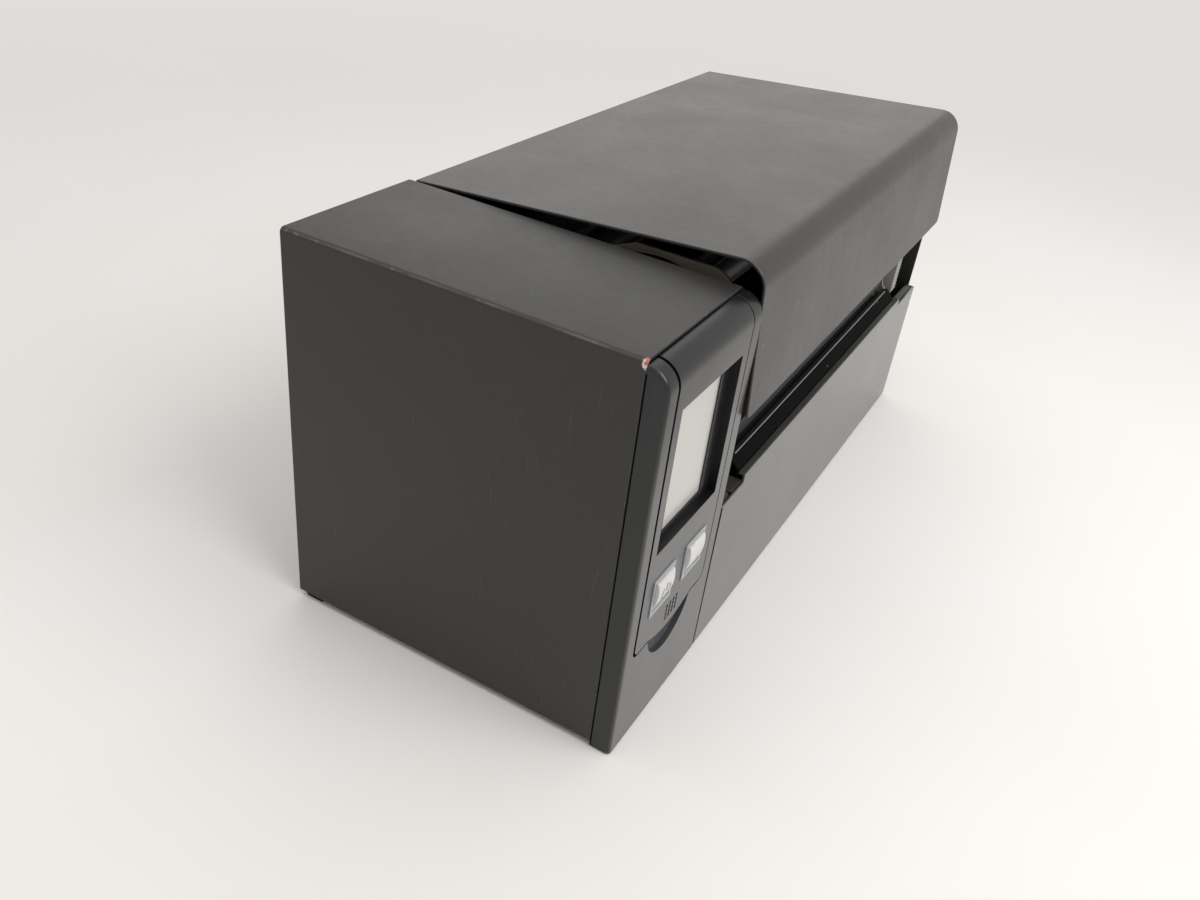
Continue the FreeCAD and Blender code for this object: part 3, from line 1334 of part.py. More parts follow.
def make_electronics():
    rear = "rear_in - board_rear_gap"
    board = box("board_sheet", ("board_left", "board_left + board_thickness"), ("board_front", rear),
                ("board_bottom", "board_top"))
    processor = box("processor", ("board_left - processor_height", "board_left"),
                    ("processor_depth", "processor_depth + processor_size"),
                    ("processor_up", "processor_up + processor_size"))
    sink = box("driver_sink", ("board_left - sink_height", "board_left"),
               ("sink_depth", "sink_depth + sink_length"), ("sink_up", "sink_up + sink_width"))
    node(joined("logic_board", [board, processor, sink]), "main_board")
    posts = []
    for depth in ("board_front + standoff_inset", f"{rear} - standoff_inset"):
        for up in ("board_bottom + standoff_inset", "board_top - standoff_inset"):
            posts.append(hexagon("standoff", "u", ("board_left + board_thickness", depth, up),
                                 "standoff_radius", "standoff_length"))
    node(grouped("standoffs", posts), "board_standoffs")

    supply = [("0", "0"), ("supply_width", "0"), ("supply_width", "supply_height - supply_chamfer"),
              ("supply_width - supply_chamfer", "supply_height"), ("0", "supply_height")]
    brick = padded("supply_case", "XZ_Plane", supply, "supply_length", away=True)
    node(place(brick, "supply_left", "supply_front", "floor"), "power_supply")


def make_inlet():
    left = "inlet_left"
    right = "inlet_left + inlet_width"
    low = "inlet_bottom"
    high = "inlet_bottom + inlet_height"
    inside = "tower_depth - inlet_depth"
    flange = box("inlet_flange_plate", (f"{left} - inlet_rim", f"{right} + inlet_rim"),
                 ("tower_depth", "rear_reach"), (f"{low} - inlet_rim", f"{high} + inlet_rim"))
    shell = box("inlet_shell", (left, right), (inside, "tower_depth"), (low, high))
    cavity = box("inlet_cavity", (f"{left} + inlet_wall", f"{right} - inlet_wall"),
                 (f"{inside} + inlet_back", "rear_reach + overshoot"),
                 (f"{low} + inlet_wall", f"{high} - inlet_wall"))
    blank = cut("inlet_housing", joined("inlet_blank", [flange, shell]), [cavity])
    pins = []
    for across, up in (("0 - pin_spread", "0"), ("pin_spread", "0"), ("0", "earth_rise")):
        mid_u = f"{left} + inlet_width / 2 + {across}"
        mid_w = f"{low} + inlet_height / 2 + {up}"
        pins.append(box("contact_pin", (f"{mid_u} - pin_half_width", f"{mid_u} + pin_half_width"),
                        (f"{inside} + inlet_back - overshoot", "tower_depth - pin_setback"),
                        (f"{mid_w} - pin_half_height", f"{mid_w} + pin_half_height")))
    node(joined("inlet", [blank] + pins), "inlet_socket")


def make_switch():
    left = "switch_left"
    right = "switch_left + switch_width"
    low = "switch_bottom"
    high = "switch_bottom + switch_height"
    rim = box("switch_frame", (f"{left} - switch_rim", f"{right} + switch_rim"),
              ("tower_depth", "tower_depth + switch_rim_depth"),
              (f"{low} - switch_rim", f"{high} + switch_rim"))
    case = box("switch_case", (left, right), ("tower_depth - switch_depth", "tower_depth"), (low, high))
    well = box("switch_well", (f"{left} + switch_wall", f"{right} - switch_wall"),
               ("tower_depth - switch_well", "tower_depth + switch_rim_depth + overshoot"),
               (f"{low} + switch_wall", f"{high} - switch_wall"))
    pivot = ("rocker_depth", "rocker_height")
    axle_start = f"{left} + rocker_axle_inset"
    axle_length = "switch_width - 2 * rocker_axle_inset"
    bore = rod("switch_pivot_bore", "u", (f"{axle_start} - rocker_axle_gap", *pivot),
               "rocker_axle_radius + running_gap", f"{axle_length} + 2 * rocker_axle_gap")
    node(cut("switch", joined("switch_blank", [rim, case]), [well, bore]), "power_switch_body")

    half = "switch_height / 2 - switch_wall - rocker_room"
    face = "rocker_pivot"
    section = [("0", f"0 - ({half})"), ("0 - rocker_belly", "0"), ("0", half),
               (f"{face} + rocker_rise", half), (f"{face} + rocker_rise - rocker_dip", "0"),
               (face, f"0 - ({half})")]
    paddle = padded("rocker_paddle", "YZ_Plane", section, "switch_width - 2 * switch_wall - 2 * rocker_side")
    place(paddle, f"{left} + switch_wall + rocker_side", *pivot)
    axle = rod("rocker_axle", "u", (axle_start, *pivot), "rocker_axle_radius", axle_length)
    node(joined("rocker", [paddle, axle]), "power_rocker")


def make_socket(label, width, height, low):
    """Board-edge socket: an open-ended shell flush with the rear panel."""
    left = f"board_left - {width}"
    inside = "tower_depth - socket_depth"
    shell = box(label + "_shell", (left, "board_left"), (inside, "tower_depth"), (low, f"{low} + {height}"))
    cavity = box(label + "_cavity", (f"{left} + socket_wall", "board_left - socket_wall"),
                 (f"{inside} + socket_back", "tower_depth + overshoot"),
                 (f"{low} + socket_wall", f"{low} + {height} - socket_wall"))
    node(cut(label + "_open", shell, [cavity]), label)


def check_and_write():
    doc.recompute()
    for item in doc.Objects:
        if "Invalid" in item.State or "Error" in item.State:
            raise RuntimeError(f"{item.Label} failed: {item.State}")
    for item in nodes:
        if item.Shape.isNull() or not item.Shape.isValid() or not item.Shape.Solids:
            raise RuntimeError(f"{item.Label} has no valid solid")
    os.makedirs("parts", exist_ok=True)
    for item in nodes:
        item.Shape.exportStep(f"parts/{item.Label}.step")
    print(len(nodes), "nodes written")


make_base()
make_tower()
make_rear_panels()
make_right_wall()
make_front_cover()
make_label_exit()
make_control_panel()
make_display_panel()
make_display_stack()
make_keys()
make_media_cover()
make_hinges()
make_frame_plates()
make_platen()
make_gear_train()
make_head()
make_lever()
make_ribbon_drive()
make_roll_holders()
make_electronics()
make_inlet()
make_switch()
make_socket("usb_socket", "usb_size", "usb_size", "usb_bottom")
make_socket("network_socket", "network_width", "network_height", "network_bottom")
check_and_write()
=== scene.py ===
import json
import math

import bmesh
import bpy
from mathutils import Matrix, Vector


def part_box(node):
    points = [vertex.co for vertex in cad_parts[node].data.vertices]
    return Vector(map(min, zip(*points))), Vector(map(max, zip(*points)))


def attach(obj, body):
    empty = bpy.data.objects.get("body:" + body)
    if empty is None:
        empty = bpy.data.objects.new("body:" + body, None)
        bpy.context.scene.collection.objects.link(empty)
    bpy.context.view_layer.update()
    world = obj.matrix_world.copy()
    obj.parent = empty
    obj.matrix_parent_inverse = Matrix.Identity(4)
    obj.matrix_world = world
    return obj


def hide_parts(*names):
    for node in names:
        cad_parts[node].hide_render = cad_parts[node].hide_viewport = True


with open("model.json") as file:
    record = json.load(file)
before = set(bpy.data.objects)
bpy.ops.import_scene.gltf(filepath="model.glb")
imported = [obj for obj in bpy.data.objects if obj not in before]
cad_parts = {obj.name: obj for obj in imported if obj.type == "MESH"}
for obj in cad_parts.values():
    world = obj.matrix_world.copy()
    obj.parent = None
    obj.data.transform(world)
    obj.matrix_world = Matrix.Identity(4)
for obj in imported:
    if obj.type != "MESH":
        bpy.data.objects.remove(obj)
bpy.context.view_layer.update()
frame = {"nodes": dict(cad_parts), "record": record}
NODES = frame["nodes"]
SLOTS = {part["node"]: part["material_slot"] for part in frame["record"]["subparts"]}
MM = 0.001

# Camera solved from the object's straight edges in the photograph.
PHOTO_WIDTH = 1200
FOCAL_PIXELS = 1054.5
CAMERA_PLACE = Vector((-0.54146, -0.22357, 0.39052))
AZIMUTH = math.radians(-64.284)
ELEVATION = math.radians(32.737)
ROLL = math.radians(7.51)
SENSOR = 36.0

# The tower's left face and the control panel's front plane, which places below are counted from.
LEFT_FACE = -223.0
FRONT_PLANE = -95.803


def spot(u, v, w):
    """Place in metres from millimetres right of the left face, back from the front and up from the floor."""
    return Vector((u + LEFT_FACE, v + FRONT_PLANE, w)) * MM


# A name that ends in RISE holds the two levels of a noise, edge or direction between which a mark appears.

# Hairlines per metre along their run, how many times thinner than long they are, and their patches per metre.
HAIR_LONG = 45.0
HAIR_THIN = 36.0
HAIR_RISE = (0.72, 0.76)
HAIR_PATCHES = 22.0
HAIR_PATCH_RISE = (0.5, 0.62)
# The middle range of a noise, outside which it seldom goes.
NOISE_RANGE = (0.3, 0.7)
# A ragged rim: its waves per radius, how far they reach in and out, and where it begins, in radii.
RIM_WAVES = 0.9
RIM_RISE = (0.25, 0.75)
RIM_REACH = 0.5
RIM_START = 0.75
EDGE_SAMPLES = 4
NO_STRETCH = (1.0, 1.0, 1.0)


class Shader:
    """A material's node tree with short calls for the nodes that the finishes share."""

    def __init__(self, name):
        self.material = bpy.data.materials.new(name)
        self.material.use_nodes = True
        self.tree = self.material.node_tree
        self.tree.nodes.clear()
        output = self.tree.nodes.new("ShaderNodeOutputMaterial")
        self.surface = self.tree.nodes.new("ShaderNodeBsdfPrincipled")
        self.tree.links.new(self.surface.outputs[0], output.inputs["Surface"])
        self.place = self.tree.nodes.new("ShaderNodeTexCoord").outputs["Object"]

    def add(self, kind, **sockets):
        """New node with its named inputs fed; an underscore stands for a space."""
        node = self.tree.nodes.new(kind)
        for name, value in sockets.items():
            self.feed(node.inputs[name.replace("_", " ")], value)
        return node

    def feed(self, socket, value):
        """Links a socket to an input, or sets the input to a plain value."""
        if isinstance(value, bpy.types.NodeSocket):
            self.tree.links.new(value, socket)
        else:
            socket.default_value = value

    def set(self, **sockets):
        """Feeds named inputs of the surface itself."""
        for name, value in sockets.items():
            self.feed(self.surface.inputs[name.replace("_", " ")], value)

    def stretched(self, scale):
        """Object place multiplied on each axis, so that a grain can run one way."""
        mapping = self.add("ShaderNodeMapping", Vector=self.place)
        mapping.inputs["Scale"].default_value = scale
        return mapping.outputs["Vector"]

    def axis(self, index):
        """Object place along one axis."""
        return self.add("ShaderNodeSeparateXYZ", Vector=self.place).outputs[index]

    def facing(self, index):
        """Part of the surface normal along one axis of the world."""
        face = self.tree.nodes.new("ShaderNodeNewGeometry").outputs["Normal"]
        return self.add("ShaderNodeSeparateXYZ", Vector=face).outputs[index]

    def scratches(self, angle):
        """Sparse hairlines that run one way, in patches."""
        lined = self.add("ShaderNodeMapping", Vector=self.place)
        lined.vector_type = "TEXTURE"
        lined.inputs["Rotation"].default_value = (0.0, 0.0, math.radians(angle))
        lined.inputs["Scale"].default_value = (1.0, 1.0 / HAIR_THIN, 1.0)
        streaks = self.noise(HAIR_LONG, detail=1.0, rough=0.5, place=lined.outputs["Vector"])
        lines = self.ramp(streaks, *HAIR_RISE)
        patch = self.ramp(self.noise(HAIR_PATCHES, detail=2.0), *HAIR_PATCH_RISE)
        return self.math("MULTIPLY", lines, patch)

    def noise(self, scale, detail=3.0, rough=0.55, place=None):
        """Noise whose features are about one over scale metres wide."""
        node = self.add("ShaderNodeTexNoise", Vector=place or self.place, Scale=scale,
                        Detail=detail, Roughness=rough)
        return node.outputs["Fac"]

    def cells(self, scale):
        """Pebbled cells about one over scale metres wide."""
        return self.add("ShaderNodeTexVoronoi", Vector=self.place, Scale=scale).outputs["Distance"]

    def ramp(self, value, low, high, start=0.0, end=1.0):
        """Straight remap of a value, clamped at both ends."""
        node = self.add("ShaderNodeMapRange", Value=value)
        for name, number in (("From Min", low), ("From Max", high), ("To Min", start), ("To Max", end)):
            node.inputs[name].default_value = number
        return node.outputs["Result"]

    def spread(self, noise, start=0.0, end=1.0):
        """A noise's middle range, remapped."""
        return self.ramp(noise, *NOISE_RANGE, start, end)

    def math(self, kind, first, second):
        """One sum of two values or sockets."""
        node = self.tree.nodes.new("ShaderNodeMath")
        node.operation = kind
        self.feed(node.inputs[0], first)
        self.feed(node.inputs[1], second)
        return node.outputs[0]

    def distance(self, place, stretch=NO_STRETCH):
        """Distance from a place, with each axis of the gap multiplied by its stretch."""
        node = self.tree.nodes.new("ShaderNodeVectorMath")
        node.operation = "DISTANCE"
        self.feed(node.inputs[0], self.stretched(stretch))
        self.feed(node.inputs[1], tuple(p * s for p, s in zip(place, stretch)))
        return node.outputs["Value"]

    def ragged(self, place, radius, stretch=NO_STRETCH):
        """1 within about a radius of a place, falling to 0 at an uneven rim."""
        reach = RIM_REACH * radius
        wave = self.ramp(self.noise(RIM_WAVES / radius), *RIM_RISE, -reach, reach)
        away = self.math("ADD", self.distance(place, stretch), wave)
        return self.ramp(away, RIM_START * radius, radius, 1.0, 0.0)

    def edge(self, radius):
        """0 on a flat face, rising on edges within a radius."""
        bevel = self.add("ShaderNodeBevel", Radius=radius)
        bevel.samples = EDGE_SAMPLES
        face = self.tree.nodes.new("ShaderNodeNewGeometry").outputs["Normal"]
        node = self.tree.nodes.new("ShaderNodeVectorMath")
        node.operation = "DOT_PRODUCT"
        self.feed(node.inputs[0], bevel.outputs["Normal"])
        self.feed(node.inputs[1], face)
        return self.math("SUBTRACT", 1.0, node.outputs["Value"])

    def most(self, shares):
        """Largest of several shares."""
        result = shares[0]
        for share in shares[1:]:
            result = self.math("MAXIMUM", result, share)
        return result

    def mix(self, share, first, second):
        """Colour between two colours, or colour sockets, by a share from 0 to 1."""
        node = self.tree.nodes.new("ShaderNodeMix")
        node.data_type = "RGBA"
        self.feed(node.inputs["Factor"], share)
        for name, colour in (("A", first), ("B", second)):
            linked = isinstance(colour, bpy.types.NodeSocket)
            self.feed(node.inputs[name], colour if linked else (*colour, 1.0))
        return node.outputs["Result"]

    def bump(self, height, strength, distance):
        """Relief on the surface from a height."""
        node = self.add("ShaderNodeBump", Height=height, Strength=strength, Distance=distance)
        self.set(Normal=node.outputs["Normal"])


def scaled(colour, factor):
    """Colour made paler or darker by a factor."""
    return tuple(min(1.0, channel * factor) for channel in colour)


def around(middle, steps):
    """Values a low and a high step away from a middle one."""
    return [middle + step for step in steps]


# Colours of worn places; the brown along the tower's bend is also a painted highlight.
PRIMER = (0.20, 0.19, 0.175)
NICKED = (0.10, 0.096, 0.088)
BROWN_WEAR_AND_HIGHLIGHT = (0.125, 0.098, 0.078)
CHIP_WHITE = (0.66, 0.58, 0.54)
CHIP_RED = (0.42, 0.11, 0.09)

# Powder coat: features per metre, and where each of its marks appears.
CLOUDS = 14.0
CLOUD_RISE = (0.35, 0.7)
MOTTLE = 150.0
MOTTLE_RISE = (0.56, 0.72)
SPECKS = 420.0
FLAKE_RISE = (0.69, 0.72)
FLAKE_EDGE_RISE = (0.01, 0.04)
RUB_PATCHES = 55.0
RUB_RISE = (0.42, 0.62)
# The pale edges and the brown line along a bend are wear and also a painted highlight.
WORN_AND_LIT_RISE = (0.02, 0.12)
BEND_RISE = (0.43, 0.49)
COAT_GRAIN = 2600.0
COAT_GRAIN_STRENGTH = 0.3
COAT_RELIEF = 0.06 * MM
COAT_EDGE = 0.7 * MM
# Directions of its hairlines in degrees, the most that marks show, and how much paler than the coat they are.
COAT_HAIRS = (24.0, -51.0)
HAIR_SHARE = 0.4
MOTTLE_SHARE = 0.25
RUB_LEAST = 0.3
CLOUD_PALE = 1.3
MOTTLE_PALE = 2.2
HAIR_PALE = 6.0
WORN_AND_LIT_PALE = 10.0
# How its roughness wanders with the clouds and the mottle, and the roughness of the gloss over it.
MATT_RISE = (0.3, 0.75)
MATT_STEPS = (-0.05, 0.06)
MOTTLE_STEPS = (-0.03, 0.03)
COAT_GLOSS = 0.32

# The chipped corner, with the red undercoat a little beside the bare white.
CHIP_SIZE = 2.0 * MM
CHIP_STRETCH = (1.0, 1.0, 0.6)
CHIP_RED_SIZE = 1.7 * MM
CHIP_RED_SHIFT = Vector((0.5, -0.6, -0.6)) * MM


def coat(name, colour, roughness, clear=0.0, nicks=(), chip=None, specular=0.5, edge_wear_and_highlight=0.5, bend_wear_and_highlight=0.0):
    """Fine-textured powder coat: clouded, hair-scratched, rubbed pale on its edges and brown along a bend where
    asked, both wear and painted highlight, nicked where listed.
    """
    s = Shader(name)
    clouds = s.noise(CLOUDS, detail=4.0)
    mottle = s.noise(MOTTLE, detail=4.0, rough=0.7)
    hair = s.most([s.scratches(angle) for angle in COAT_HAIRS])
    specks = s.noise(SPECKS, detail=2.0)
    edge = s.edge(COAT_EDGE)
    rubbed = s.ramp(s.noise(RUB_PATCHES), *RUB_RISE, RUB_LEAST, 1.0)
    # Pale edges: wear, and also a painted highlight along them.
    worn_and_lit = s.math("MULTIPLY", s.ramp(edge, *WORN_AND_LIT_RISE, 0.0, edge_wear_and_highlight), rubbed)
    flaked = s.math("MULTIPLY", s.ramp(edge, *FLAKE_EDGE_RISE), s.ramp(specks, *FLAKE_RISE))
    shade = s.mix(s.ramp(clouds, *CLOUD_RISE), colour, scaled(colour, CLOUD_PALE))
    shade = s.mix(s.ramp(mottle, *MOTTLE_RISE, 0.0, MOTTLE_SHARE), shade, scaled(colour, MOTTLE_PALE))
    shade = s.mix(s.math("MULTIPLY", hair, HAIR_SHARE), shade, scaled(colour, HAIR_PALE))
    shade = s.mix(worn_and_lit, shade, scaled(colour, WORN_AND_LIT_PALE))
    # Brown line along the bend: wear, and also a painted highlight.
    if bend_wear_and_highlight:
        corner = s.math("MULTIPLY", s.math("MULTIPLY", s.facing(0), s.facing(2)), -1.0)
        bared_and_lit = s.math("MULTIPLY", s.ramp(corner, *BEND_RISE, 0.0, bend_wear_and_highlight), rubbed)
        shade = s.mix(bared_and_lit, shade, BROWN_WEAR_AND_HIGHLIGHT)
    shade = s.mix(flaked, shade, PRIMER)
    if nicks:
        marks = [s.ragged(place, size * MM, stretch) for place, size, stretch in nicks]
        shade = s.mix(s.most(marks), shade, NICKED)
    if chip:
        shade = s.mix(s.ragged(chip, CHIP_SIZE, CHIP_STRETCH), shade, CHIP_WHITE)
        shade = s.mix(s.ragged(chip + CHIP_RED_SHIFT, CHIP_RED_SIZE), shade, CHIP_RED)
    s.set(Base_Color=shade, Specular_IOR_Level=specular, Coat_Weight=clear, Coat_Roughness=COAT_GLOSS)
    matt = s.ramp(clouds, *MATT_RISE, *around(roughness, MATT_STEPS))
    s.set(Roughness=s.math("ADD", matt, s.spread(mottle, *MOTTLE_STEPS)))
    s.bump(s.noise(COAT_GRAIN, detail=2.0), COAT_GRAIN_STRENGTH, COAT_RELIEF)
    return s.material


# Metal: patches per metre and their darkest tone, how many times finer its grain is across than along, how its
# roughness wanders with the grain, and the grain's relief, which mouldings share.
METAL_PATCHES = 35.0
PATCH_DARK = 0.8
DRAWN_STRETCH = (1.0, 40.0, 40.0)
DRAWN_ROUGH = 0.6
DRAWN_STEPS = (-0.08, 0.1)
DRAWN_STRENGTH = 0.15
SKIN_RELIEF = 0.03 * MM


def metal(name, colour, roughness, scale, metallic=1.0):
    """Plated or ground metal with drawn grain and patchy tone."""
    s = Shader(name)
    drawn = s.noise(scale, rough=DRAWN_ROUGH, place=s.stretched(DRAWN_STRETCH))
    patches = s.noise(METAL_PATCHES, detail=4.0)
    s.set(Base_Color=s.mix(s.spread(patches), scaled(colour, PATCH_DARK), colour))
    s.set(Metallic=metallic, Roughness=s.spread(drawn, *around(roughness, DRAWN_STEPS)))
    s.bump(drawn, DRAWN_STRENGTH, SKIN_RELIEF)
    return s.material


# Moulded plastic: clouds per metre, its burnished edges, and how its tone and roughness wander.
MOULD_CLOUDS = 25.0
MOULD_CLOUD_PALE = 1.15
MOULD_EDGE = 0.5 * MM
MOULD_EDGE_RISE = (0.02, 0.15)
MOULD_EDGE_SHARE = 0.5
MOULD_EDGE_PALE = 1.6
MOULD_STEPS = (-0.03, 0.04)
MOULD_GLOSS = 0.25


def plastic(name, colour, roughness, grain, lift=0.2, clear=0.0, specular=0.5):
    """Moulded plastic with a spark-eroded skin, burnished on its edges."""
    s = Shader(name)
    tone = s.noise(MOULD_CLOUDS)
    rub = s.ramp(s.edge(MOULD_EDGE), *MOULD_EDGE_RISE, 0.0, MOULD_EDGE_SHARE)
    shade = s.mix(s.spread(tone), colour, scaled(colour, MOULD_CLOUD_PALE))
    s.set(Base_Color=s.mix(rub, shade, scaled(colour, MOULD_EDGE_PALE)), Specular_IOR_Level=specular)
    s.set(Roughness=s.spread(tone, *around(roughness, MOULD_STEPS)))
    s.set(Coat_Weight=clear, Coat_Roughness=MOULD_GLOSS)
    s.bump(s.cells(grain), lift, SKIN_RELIEF)
    return s.material


# Panel mouldings: colours, and how much paler their clouds, hairlines and edges are.
PANEL_COLOUR = (0.0145, 0.0150, 0.0170)
PANEL_DARK = (0.0070, 0.0072, 0.0080)
PANEL_DARK_PALE = 1.3
PANEL_LOW_FRONT = (0.0190, 0.0190, 0.0200)
PANEL_LOW_FRONT_PALE = 1.2
PANEL_HAIR_PALE = 4.0
PANEL_EDGE_PALE = 2.4
SCOOP_SKIN_COLOUR = (0.042, 0.044, 0.053)
# The display recess's colour is a painted shade, on its walls and in its sound holes.
RECESS_PAINTED_SHADE = (0.0025, 0.0025, 0.0028)
PANEL_GRAIN = 2400.0
PANEL_GRAIN_STRENGTH = 0.2
PANEL_EDGE = 0.6 * MM
PANEL_EDGE_SHARE = 0.6
PANEL_HAIRS = (70.0, 12.0)
# Gloss low on the front and in the hollows, and the roughness of the upper skin, the skin low on the front and
# the hollows.
LOW_FRONT_COAT = 0.72
HOLLOW_COAT = 0.1
PANEL_GLOSS = 0.22
PANEL_MATT = (0.25, 0.38)
PANEL_MATT_CLOUDS = 0.06
HOLLOW_MATT = 0.12
# The finger scoop, and depths in millimetres over which the scoop's skin and the recess's painted shade begin.
PANEL_MIDDLE = 46.0
SCOOP_MIDDLE = spot(PANEL_MIDDLE, 0.0, 60.1)
SCOOP_REACH = 23.0 * MM
SCOOP_FADE = 1.02
SCOOP_DEPTHS = (0.08, 0.2)
RECESS_DEPTHS = (0.15, 0.3)
# Heights where the arched top begins, and between which the paler, glossier low front fades; the faces that it
# takes in.
ARCH_START = 192.0 * MM
ARCH_FADE = 1.01
LOW_FRONT_BELOW = 145.0 * MM
LOW_FRONT_GONE_ABOVE = 192.0 * MM
FRONT_FACING = (-0.9, -0.3)


def below_front(s, start, end):
    """0 on the panel's front plane, 1 where a surface lies deeper than the end in millimetres."""
    return s.ramp(s.axis(1), (FRONT_PLANE + start) * MM, (FRONT_PLANE + end) * MM)


def in_scoop(s):
    """1 on the skin of the finger scoop."""
    away = s.distance(SCOOP_MIDDLE, (1.0, 0.0, 1.0))
    inside = s.ramp(away, SCOOP_REACH, SCOOP_FADE * SCOOP_REACH, 1.0, 0.0)
    return s.math("MULTIPLY", below_front(s, *SCOOP_DEPTHS), inside)


def in_recess(s):
    """1 in the display's recess, below the arched top, where its skin is a painted shade."""
    below_arch = s.ramp(s.axis(2), ARCH_START, ARCH_FADE * ARCH_START, 1.0, 0.0)
    return s.math("MULTIPLY", below_front(s, *RECESS_DEPTHS), below_arch)


def panel_plastic(name, hollow, hollow_colour):
    """Panel moulding, paler and glossier low on its front, with another skin in its hollows, a painted shade in
    the display's recess.
    """
    s = Shader(name)
    tone = s.noise(MOULD_CLOUDS)
    hair = s.most([s.scratches(angle) for angle in PANEL_HAIRS])
    rub = s.ramp(s.edge(PANEL_EDGE), *MOULD_EDGE_RISE, 0.0, PANEL_EDGE_SHARE)
    deep = hollow(s)
    low_front = s.math("MULTIPLY", s.ramp(s.axis(2), LOW_FRONT_BELOW, LOW_FRONT_GONE_ABOVE, 1.0, 0.0),
                     s.ramp(s.facing(1), *FRONT_FACING, 1.0, 0.0))
    shade = s.mix(low_front, s.mix(tone, PANEL_DARK, scaled(PANEL_DARK, PANEL_DARK_PALE)),
                  s.mix(tone, PANEL_LOW_FRONT, scaled(PANEL_LOW_FRONT, PANEL_LOW_FRONT_PALE)))
    shade = s.mix(s.math("MULTIPLY", hair, HAIR_SHARE), shade, scaled(PANEL_COLOUR, PANEL_HAIR_PALE))
    shade = s.mix(rub, shade, scaled(PANEL_COLOUR, PANEL_EDGE_PALE))
    s.set(Base_Color=s.mix(deep, shade, hollow_colour), Coat_Roughness=PANEL_GLOSS)
    low_front_gloss = s.math("MULTIPLY", low_front, LOW_FRONT_COAT)
    s.set(Coat_Weight=s.math("MULTIPLY", low_front_gloss, s.ramp(deep, 0.0, 1.0, 1.0, HOLLOW_COAT)))
    matt = s.math("ADD", s.ramp(low_front, 0.0, 1.0, *PANEL_MATT), s.spread(tone, 0.0, PANEL_MATT_CLOUDS))
    s.set(Roughness=s.math("ADD", matt, s.math("MULTIPLY", deep, HOLLOW_MATT)))
    s.bump(s.cells(PANEL_GRAIN), PANEL_GRAIN_STRENGTH, SKIN_RELIEF)
    return s.material


# Tear edge: colours, the strip over which the ground edge ends, and its drawn grain.
TEAR_BLACK = (0.010, 0.010, 0.010)
TEAR_GROUND = ((0.36, 0.35, 0.34), (0.50, 0.49, 0.47))
TEAR_EDGE = (0.3 * MM, 0.4 * MM)
TEAR_GRAIN = 300.0
TEAR_STRETCH = (1.0, 30.0, 30.0)
TEAR_ROUGHNESS = (0.3, 0.45)


def tear_steel():
    """Strip, black but for its front edge, which is ground bright."""
    s = Shader("tear_edge")
    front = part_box("tear_bar")[0][1]
    drawn = s.noise(TEAR_GRAIN, rough=DRAWN_ROUGH, place=s.stretched(TEAR_STRETCH))
    ground = s.ramp(s.axis(1), front + TEAR_EDGE[0], front + TEAR_EDGE[1], 1.0, 0.0)
    s.set(Base_Color=s.mix(ground, TEAR_BLACK, s.mix(drawn, *TEAR_GROUND)))
    s.set(Metallic=ground, Roughness=s.spread(drawn, *TEAR_ROUGHNESS), Specular_IOR_Level=0.2)
    s.bump(drawn, DRAWN_STRENGTH, SKIN_RELIEF)
    return s.material


# Display: colours at its foot, at its top and in its foggy patches, and its fine grain.
SCREEN_LOW = (0.53, 0.52, 0.495)
SCREEN_HIGH = (0.47, 0.46, 0.44)
SCREEN_FOG = (0.49, 0.48, 0.46)
FOG_PATCHES = 18.0
FOG_SHARE = 0.35
SCREEN_ROUGHNESS = (0.24, 0.32)
SCREEN_GRAIN = 4000.0
SCREEN_GRAIN_STRENGTH = 0.04
SCREEN_RELIEF = 0.02 * MM


def unlit_screen():
    """Unlit reflective display behind its clear window, paler towards the bottom."""
    s = Shader("unlit_screen")
    low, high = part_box("display_screen")
    fall = s.ramp(s.axis(2), low[2], high[2])
    fog = s.noise(FOG_PATCHES)
    shade = s.mix(fall, SCREEN_LOW, SCREEN_HIGH)
    s.set(Base_Color=s.mix(s.ramp(fog, *CLOUD_RISE, 0.0, FOG_SHARE), shade, SCREEN_FOG))
    s.set(Roughness=s.spread(fog, *SCREEN_ROUGHNESS), Coat_Weight=0.5, Coat_Roughness=0.08)
    s.bump(s.cells(SCREEN_GRAIN), SCREEN_GRAIN_STRENGTH, SCREEN_RELIEF)
    return s.material


# Colour of the coated sheet, and how much paler the front cover's is, a painted sheen for its brighter grazing
# reflection.
SHEET = (0.0155, 0.0150, 0.0142)
FRONT_SHEEN_PALE = 2.0

# Nicks in the coat: place, radius in millimetres, and the stretch of their shape.
FLAT = (1.0, 0.15, 1.0)
FLAP_NICKS = [
    (spot(101.0, -1.0, 179.8), 0.9, (1.0, 0.15, 0.6)), (spot(131.4, -1.0, 179.6), 0.8, FLAT),
    (spot(143.6, -1.0, 186.2), 0.7, (0.5, 0.15, 1.0)), (spot(200.0, -1.0, 188.8), 0.8, FLAT),
    (spot(236.0, -1.0, 160.0), 0.7, (1.0, 0.15, 0.4)), (spot(335.4, -1.0, 154.0), 0.7, FLAT),
]
LID_NICKS = [
    (spot(106.6, 124.0, 208.0), 0.8, (0.5, 1.0, 0.2)), (spot(172.1, 82.9, 213.0), 0.7, (1.0, 0.4, 0.2)),
    (spot(183.5, 56.7, 215.0), 0.8, (1.0, 1.0, 0.2)), (spot(160.3, 124.0, 210.0), 0.6, (0.6, 1.0, 0.2)),
]
FRONT_NICKS = [
    (spot(161.9, 0.0, 88.0), 0.7, FLAT), (spot(184.1, 0.0, 85.2), 0.8, (0.5, 0.15, 1.0)),
    (spot(257.5, 0.0, 77.2), 0.8, FLAT), (spot(337.6, 0.0, 80.0), 0.7, (1.0, 0.15, 0.5)),
]
ALONG_BEND = (1.0, 0.4, 1.0)
